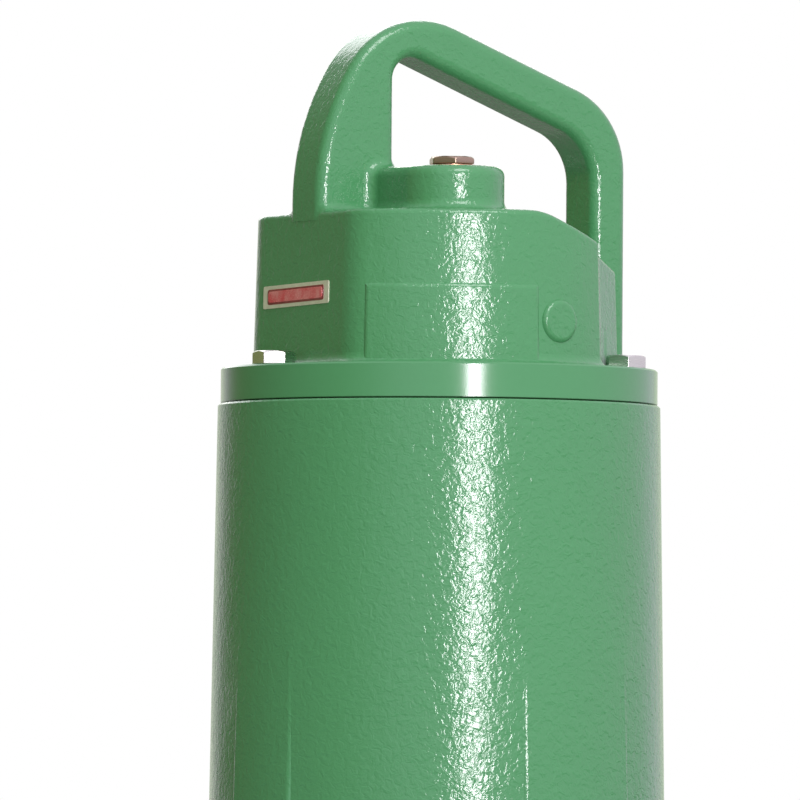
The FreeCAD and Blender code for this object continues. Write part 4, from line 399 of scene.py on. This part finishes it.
END_WALL_LOW = Vector((-0.0067, 0.089, 0.028))
END_WALL_HIGH = Vector((-0.001, 0.138, 0.102))
BORE_CENTRE = (0, 0.1045, 0.065)
BORE_RADIUS = 0.0327
clear_selection()
bpy.ops.mesh.primitive_cube_add(size=1, location=(END_WALL_LOW + END_WALL_HIGH) / 2)
end_wall = bpy.context.object
end_wall.name = "chamber_end_wall"
end_wall.scale = END_WALL_HIGH - END_WALL_LOW
bpy.ops.object.transform_apply(location=True, rotation=True, scale=True)
bpy.ops.mesh.primitive_cylinder_add(vertices=96, radius=BORE_RADIUS, depth=0.04, location=BORE_CENTRE,
                                    rotation=(0, math.radians(90), 0))
bore = bpy.context.object
work_with(end_wall, bore, "DIFFERENCE")
round_edges(end_wall, 0.0004)
settle(end_wall, wet_end_paint, "green_paint", "housing")


# Screws: stainless steel with hexagon heads, forged with a rounded crown and a washer face. Each set holds
# one joint of the castings.
def machined(name, colour, roughness, marks_per_metre, depth, spread=0.8):
    """Turned metal: fine tool marks round the pump's axis, a little uneven in colour and gloss. spread is
    how dark the darkest clouds are."""
    metal, tree = new_finish(name, metallic=1.0)
    where = add_node(tree, "TexCoord").outputs["Object"]
    few_across = 8
    stretch = add_node(tree, "Mapping", {"Vector": where, "Scale": (few_across, few_across, marks_per_metre)})
    marks = clouds(tree, stretch.outputs[0], 1.0, detail=3.0)
    shade = blend(tree, clouds(tree, where, 60.0, detail=4.0), toned(colour, spread), toned(colour))
    gloss = rescale(tree, marks, CLOUD_SPAN, (roughness * 0.8, roughness * 1.25))
    coat(tree, shade, gloss, marks, strength=0.5, depth=depth)
    return metal


def select_faces(piece, wanted):
    """Goes into edit mode with just those faces of a piece selected that are wanted."""
    bpy.ops.object.mode_set(mode="EDIT")
    bpy.ops.mesh.select_mode(type="FACE")
    bpy.ops.mesh.select_all(action="DESELECT")
    bpy.ops.object.mode_set(mode="OBJECT")
    for face in piece.data.polygons:
        face.select = wanted(face)
    bpy.ops.object.mode_set(mode="EDIT")


def hexagon_screw(width, height, thread, length, worn=0.00022):
    """A screw on the origin, head up. A 30 degree cone crowns its hexagon, which has a dished top and stands
    off its seat by a washer face's height. The shank ends in a chamfered point."""
    clear_selection()
    washer_face = 0.0004
    washer_share = width * 0.95 / thread
    crown_radius = width * 0.475
    top_rim = width * 0.05
    dish_slope = width * 0.06
    dish_depth = width * 0.012
    point = thread * 0.12
    point_share = 0.8
    bpy.ops.mesh.primitive_cylinder_add(vertices=6, radius=width / math.sqrt(3), depth=height - washer_face,
                                        location=(0, 0, (height + washer_face) / 2))
    head = bpy.context.object
    bpy.ops.mesh.primitive_cone_add(vertices=64, radius1=crown_radius + height * math.sqrt(3),
                                    radius2=crown_radius, depth=height, location=(0, 0, height / 2))
    cone = bpy.context.object
    work_with(head, cone, "INTERSECT")
    select_faces(head, lambda face: face.normal.z > 0.99)
    bpy.ops.mesh.inset(thickness=top_rim, depth=0)
    bpy.ops.mesh.inset(thickness=dish_slope, depth=-dish_depth)
    bpy.ops.object.mode_set(mode="OBJECT")
    round_edges(head, worn, sharp=20)
    clear_selection()
    bpy.ops.mesh.primitive_cylinder_add(vertices=40, radius=thread / 2, depth=length,
                                        location=(0, 0, -length / 2))
    shank = bpy.context.object
    select_faces(shank, lambda face: face.normal.z > 0.9)
    bpy.ops.mesh.extrude_region_move(TRANSFORM_OT_translate={"value": (0, 0, 0)})
    bpy.ops.transform.resize(value=(washer_share, washer_share, 1))
    bpy.ops.mesh.extrude_region_move(TRANSFORM_OT_translate={"value": (0, 0, washer_face)})
    select_faces(shank, lambda face: face.normal.z < -0.9 and face.center.z < -length / 2)
    bpy.ops.mesh.extrude_region_move(TRANSFORM_OT_translate={"value": (0, 0, -point)})
    bpy.ops.transform.resize(value=(point_share, point_share, 1))
    bpy.ops.mesh.select_all(action="SELECT")
    bpy.ops.transform.translate(value=(0, 0, point))
    bpy.ops.object.mode_set(mode="OBJECT")
    bpy.ops.object.shade_smooth_by_angle(angle=math.radians(40))
    head.select_set(True)
    bpy.context.view_layer.objects.active = head
    bpy.ops.object.join()
    bpy.ops.object.transform_apply(location=True, rotation=True, scale=True)
    return head


def screw_set(node, name, size, length, pitch, angles, up=True, turn=0.0):
    """A ring of stainless screws for a node, copies of one screw, each turned further than the last one."""
    width, height, thread = size
    low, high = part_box(node)
    seat = high[2] - height if up else low[2] + height
    turned_further = 17
    model = hexagon_screw(width, height, thread, length)
    copies = []
    for number, angle in enumerate(angles):
        screw = bpy.data.objects.new(f"{name}_{number}", model.data.copy())
        scene.collection.objects.link(screw)
        around = math.radians(angle)
        place = Matrix.Translation((pitch * math.cos(around), pitch * math.sin(around), seat))
        over = Matrix.Identity(4) if up else Matrix.Rotation(math.pi, 4, "X")
        twist = math.radians(turn + number * turned_further)
        screw.matrix_world = place @ over @ Matrix.Rotation(twist, 4, "Z")
        copies.append(screw)
    bpy.data.objects.remove(model)
    take_up(copies[0])
    for screw in copies[1:]:
        screw.select_set(True)
    bpy.ops.object.join()
    ring = copies[0]
    ring.name = name
    bpy.ops.object.transform_apply(location=True, rotation=True, scale=True)
    settle(ring, STAINLESS, "stainless", "housing", node)


STAINLESS = machined("stainless_screws", (0.70, 0.74, 0.66), roughness=0.27, marks_per_metre=3000,
                     depth=0.00002)
COARSE_SCREW = (0.017, 0.0064, 0.010)
FINE_SCREW = (0.013, 0.0053, 0.008)
screw_set("suction_cover_screws", "suction_cover_bolts", FINE_SCREW, length=0.018, pitch=0.073,
          angles=range(0, 360, 60), up=False)
screw_set("stand_screws", "stand_bolts", COARSE_SCREW, length=0.032, pitch=0.112,
          angles=range(45, 360, 90), up=False)
screw_set("volute_screws", "volute_bolts", COARSE_SCREW, length=0.024, pitch=0.114, angles=range(0, 360, 60))

# Impeller: a closed wheel of bare cast iron. It runs in a bronze ring that is pressed into the suction cover.
# The bearings' bracket and carrier are cast and turned in the same way.
bare_iron = machined("bare_cast_iron", (0.30, 0.29, 0.28), roughness=0.5, marks_per_metre=2500, depth=0.0001)
dress("impeller bearing_bracket upper_bearing_carrier", bare_iron)
bronze = machined("turned_bronze", (0.62, 0.44, 0.22), roughness=0.3, marks_per_metre=4000, depth=0.00003)
dress("wear_ring", bronze)

# Shaft with its key, washer and screw, its two ball bearings and the small steel pieces round them: turned,
# hardened and ground.
ground_steel = machined("ground_steel", (0.62, 0.61, 0.60), roughness=0.22, marks_per_metre=6000,
                        depth=0.00001)
dress("shaft impeller_key impeller_washer impeller_screw preload_washer seal_spring bracket_screws",
      ground_steel)
for end in ("lower", "upper"):
    dress(f"{end}_circlip {end}_bearing_inner {end}_bearing_outer {end}_bearing_cage {end}_bearing_balls",
          ground_steel)


# Shaft seals: two pairs of lapped silicon carbide faces, one below and one above the oil chamber. A spring
# presses the running rings on the fixed seats.
def lapped(name, colour):
    """Sintered and lapped silicon carbide: near black, glossy on its faces, with fine pale grains."""
    carbide, tree = new_finish(name)
    where = add_node(tree, "TexCoord").outputs["Object"]
    grains = add_node(tree, "TexVoronoi", {"Vector": where, "Scale": 4000.0}).outputs["Distance"]
    shade = blend(tree, rescale(tree, grains, FULL_SPAN, (0.0, 0.6)), toned(colour), toned(colour, 2.5))
    gloss = rescale(tree, grains, FULL_SPAN, (0.14, 0.3))
    coat(tree, shade, gloss, grains, strength=0.3, depth=0.00001)
    return carbide


dress("lower_seal_seat upper_seal_seat lower_seal_ring upper_seal_ring",
      lapped("silicon_carbide", (0.045, 0.047, 0.052)))

# Seal housing: the oil chamber's casting between pump chamber and motor, painted like the barrel. Two plugs
# with copper rings close its oil ways.
barrel_paint = enamel("barrel_enamel", grain=310.0, depth=0.00042)
eased("seal_housing", "seal_housing_casting", 0.0012, barrel_paint)
plug_steel = machined("browned_steel", (0.42, 0.33, 0.24), roughness=0.3, marks_per_metre=3000, depth=0.00003)
eased("oil_plugs", "oil_hexagon_plugs", 0.0004, plug_steel, "plug_steel")
copper = machined("copper_rings", (0.72, 0.42, 0.26), roughness=0.35, marks_per_metre=3000, depth=0.00003)
dress("plug_washer oil_plug_washers", copper)


# Rotor and stator cores: stacks of half-millimetre steel sheets. One is pressed on the shaft, the other
# into the barrel.
def height_there(tree, where):
    """How high a point of a piece lies."""
    return add_node(tree, "SeparateXYZ", {0: where}).outputs["Z"]


def stacked_sheets(name, colour, pitch):
    """Edges of stacked sheets: fine rings round the axis, blued and a little stained by varnish."""
    sheets, tree = new_finish(name, metallic=0.9)
    where = add_node(tree, "TexCoord").outputs["Object"]
    turns = calculate(tree, "MULTIPLY", height_there(tree, where), 2 * math.pi / pitch)
    edge = rescale(tree, calculate(tree, "SINE", turns), (-1.0, -0.4))
    stain = clouds(tree, where, 45.0, detail=4.0, roughness=0.6)
    varnished = (colour[0] * 0.9, colour[1] * 0.72, colour[2] * 0.5, 1)
    bare = blend(tree, stain, toned(colour), varnished)
    shade = blend(tree, edge, toned(colour, 0.45), bare)
    coat(tree, shade, rescale(tree, stain, CLOUD_SPAN, (0.36, 0.52)), edge, strength=0.7, depth=0.00005)
    return sheets


dress("rotor_core stator_core", stacked_sheets("core_sheets", (0.30, 0.31, 0.34), pitch=0.0005))


# Windings: rings of enamelled copper wire at both ends of the stator. They are laced by hand and soaked in
# amber varnish.
def from_axis(tree, where):
    """How far a point of a piece lies from the pump's axis."""
    flat = add_node(tree, "VectorMath", {0: where, 1: (1, 1, 0)}, operation="MULTIPLY")
    return add_node(tree, "VectorMath", {0: flat.outputs[0]}, operation="LENGTH").outputs["Value"]


def wound_wire(name, colour, wire):
    """Wires that run round the axis side by side under varnish, darker in the grooves between them."""
    coil, tree = new_finish(name)
    where = add_node(tree, "TexCoord").outputs["Object"]
    stray = clouds(tree, where, 40.0)
    wander = calculate(tree, "MULTIPLY", stray, 6 * wire)
    across = calculate(tree, "ADD", from_axis(tree, where), wander)
    along = calculate(tree, "SUBTRACT", height_there(tree, where), wander)
    section = add_node(tree, "CombineXYZ", {0: across, 1: along, 2: 0.0}).outputs[0]
    wires = add_node(tree, "TexVoronoi", {"Vector": section, "Scale": 1 / wire}).outputs["Distance"]
    shade = blend(tree, rescale(tree, wires, (0.25, 0.6)), toned(colour), toned(colour, 0.3))
    gloss = rescale(tree, stray, CLOUD_SPAN, (0.18, 0.34))
    coat(tree, shade, gloss, calculate(tree, "SUBTRACT", 1.0, wires), strength=1.0, depth=wire * 0.5)
    return coil


dress("lower_winding upper_winding", wound_wire("varnished_windings", (0.36, 0.13, 0.045), wire=0.0011))

# End rings: pure aluminium, cast in one shot with the rotor's bars. They stay as they leave the mould, a
# little cloudy.
cast_aluminium = machined("cast_aluminium", (0.76, 0.77, 0.78), roughness=0.42, marks_per_metre=350,
                          depth=0.00012, spread=0.7)
dress("lower_end_ring upper_end_ring", cast_aluminium)

# Barrel: one long iron casting round the motor, with four flat bands cast on its lower half, painted green.
# Eight screws hold it to the seal housing from below.
dress("motor_housing", barrel_paint)
screw_set("housing_screws", "housing_bolts", FINE_SCREW, length=0.028, pitch=0.099428,
          angles=[22.5 + 45 * step for step in range(8)], up=False)

# Motor cover: one casting with the terminal head, the boss and the lifting handle. Only the flange's rim is
# turned, so that the enamel lies smooth there.
TURNED_FROM = 0.0965
FLANGE_TOP = 0.4865
TURNED_BELOW = FLANGE_TOP + 0.0007
JOINT_LEVEL = 0.470
# Heights over which the painted shade under the flange fades in, down towards the joint.
UNSHADED_TO_PAINTED_SHADE = (JOINT_LEVEL + 0.0011, JOINT_LEVEL + 0.0005)


def turned_rim(tree):
    """Where the flange is turned smooth: the rim between the joint and its top face."""
    where = add_node(tree, "TexCoord").outputs["Object"]
    outside = calculate(tree, "GREATER_THAN", from_axis(tree, where), TURNED_FROM)
    low = calculate(tree, "LESS_THAN", height_there(tree, where), TURNED_BELOW)
    return calculate(tree, "MULTIPLY", outside, low)


def flange_joint_shade(tree):
    """Where painted shade darkens the paint: the flange's lowest edge, over the joint to the barrel."""
    where = add_node(tree, "TexCoord").outputs["Object"]
    return rescale(tree, height_there(tree, where), UNSHADED_TO_PAINTED_SHADE)


# The cover's enamel has painted shade on the flange's lowest edge, over the joint.
cover_paint = enamel("cover_enamel", grain=310.0, depth=0.00040, smooth=turned_rim, painted_shade=flange_joint_shade)
dress("motor_cover", cover_paint)
screw_set("cover_screws", "cover_bolts", COARSE_SCREW, length=0.024, pitch=0.087,
          angles=(180, 42, -42), turn=2)

# Inspection plug: a low hexagon plug of browned steel, screwed into the boss's front end on a copper ring.
# It is turned so that one of its corners faces the front.
PLUG_SEAT = Vector((-0.020, -0.0446, 0.5776))
PLUG_TURN = math.radians(39)
plug = hexagon_screw(width=0.019, height=0.0039, thread=0.013, length=0.016, worn=0.00055)
plug.name = "boss_hexagon_plug"
take_up(plug)
plug.matrix_world = Matrix.Translation(PLUG_SEAT) @ Matrix.Rotation(PLUG_TURN, 4, "Z")
bpy.ops.object.transform_apply(location=True, rotation=True, scale=True)
settle(plug, plug_steel, "plug_steel", "housing", "inspection_plug")

# Cable gland at the back: a hollow hexagon nut of zinc plated steel that presses a rubber bush between two
# washers, ready for a cable.
zinc_plate = machined("zinc_plated_steel", (0.60, 0.60, 0.57), roughness=0.34, marks_per_metre=3000,
                      depth=0.00003)
eased("gland_nut", "gland_hexagon_nut", 0.0006, zinc_plate, "plug_steel")
dress("inner_gland_washer outer_gland_washer", zinc_plate)
dress("gland_bush", nitrile)


# Terminal board in the head: a block of pressed phenolic cloth, screwed in under the cover. Brass studs and
# nuts take the leads.
def pressed_cloth(name, colour):
    """Phenolic laminate: brown resin with the crossed threads of its cloth just showing."""
    board, tree = new_finish(name)
    where = add_node(tree, "TexCoord").outputs["Object"]
    threads = {"Vector": where, "Scale": 260.0, "Distortion": 0.6}
    wefts = add_node(tree, "TexWave", threads, bands_direction="X")
    warps = add_node(tree, "TexWave", threads, bands_direction="Y")
    cloth = calculate(tree, "MULTIPLY", wefts.outputs["Fac"], warps.outputs["Fac"])
    shade = blend(tree, cloth, toned(colour), toned(colour, 1.8))
    coat(tree, shade, rescale(tree, cloth, FULL_SPAN, (0.3, 0.5)), cloth, strength=0.4, depth=0.00005)
    return board


dress("terminal_board", pressed_cloth("phenolic_cloth", (0.15, 0.055, 0.022)))
brass = machined("turned_brass", (0.80, 0.58, 0.24), roughness=0.28, marks_per_metre=4000, depth=0.00002)
dress("terminal_studs terminal_nuts", brass)

# Label plate: a thin printed aluminium plate stuck on the head's flat. It is left bare: a pale border, a
# dark line and a red field.
HEAD_FLAT = 0.0734
HEAD_DRAFT = math.radians(1.6)
LABEL_HEIGHT = 0.0325
LABEL_SIDE = 0.005
LABEL_SLOPE = math.radians(-1.0)
SUNK = 0.0001


def plate(name, size, corner, proud):
    """A thin plate with round corners on the head's drafted flat, stuck on a little out of level."""
    clear_selection()
    bpy.ops.mesh.primitive_cube_add(size=1, location=(0, 0, 0))
    made = bpy.context.object
    made.name = name
    made.scale = (proud, size[0], size[1])
    bpy.ops.object.transform_apply(location=True, rotation=True, scale=True)
    bpy.ops.object.mode_set(mode="EDIT")
    bpy.ops.mesh.select_mode(type="EDGE")
    bpy.ops.mesh.select_all(action="DESELECT")
    bpy.ops.object.mode_set(mode="OBJECT")
    for edge in made.data.edges:
        ends = [made.data.vertices[index].co for index in edge.vertices]
        edge.select = abs(ends[0].x - ends[1].x) > proud / 2
    bpy.ops.object.mode_set(mode="EDIT")
    bpy.ops.mesh.bevel(offset=corner, segments=6, affect="EDGES")
    bpy.ops.object.mode_set(mode="OBJECT")
    round_edges(made, proud * 0.25)
    flat_there = HEAD_FLAT - LABEL_HEIGHT * math.tan(HEAD_DRAFT)
    where = Matrix.Translation((-flat_there - proud / 2 + SUNK, LABEL_SIDE, FLANGE_TOP + LABEL_HEIGHT))
    take_up(made)
    made.matrix_world = where @ Matrix.Rotation(HEAD_DRAFT, 4, "Y") @ Matrix.Rotation(LABEL_SLOPE, 4, "X")
    bpy.ops.object.transform_apply(location=True, rotation=True, scale=True)
    return made


def printed(name, colour, wear, roughness):
    """Printed ink or bare lacquer on the plate, a little worn and clouded."""
    ink, tree = new_finish(name)
    where = add_node(tree, "TexCoord").outputs["Object"]
    worn = rescale(tree, clouds(tree, where, 160.0, detail=4.0, roughness=0.6), (0.35, 0.75))
    shade = blend(tree, worn, toned(colour), toned(wear))
    grain = clouds(tree, where, 1500.0)
    gloss = rescale(tree, grain, FULL_SPAN, (roughness * 0.7, roughness * 1.3))
    coat(tree, shade, gloss, grain, strength=0.3, depth=0.00003)
    return ink


LACQUER = printed("label_lacquer", (0.66, 0.68, 0.52), wear=(0.54, 0.56, 0.42), roughness=0.3)
MAROON = printed("label_maroon", (0.20, 0.020, 0.030), wear=(0.30, 0.06, 0.06), roughness=0.3)
RED = printed("label_red", (0.66, 0.075, 0.10), wear=(0.74, 0.28, 0.28), roughness=0.26)
settle(plate("label_plate", (0.0600, 0.0104), corner=0.0010, proud=0.0006), LACQUER, "stainless", "housing")
settle(plate("label_rim", (0.0516, 0.0070), corner=0.0014, proud=0.0008), MAROON, "stainless", "housing")
settle(plate("label_field", (0.0496, 0.0052), corner=0.0018, proud=0.0011), RED, "stainless", "housing")
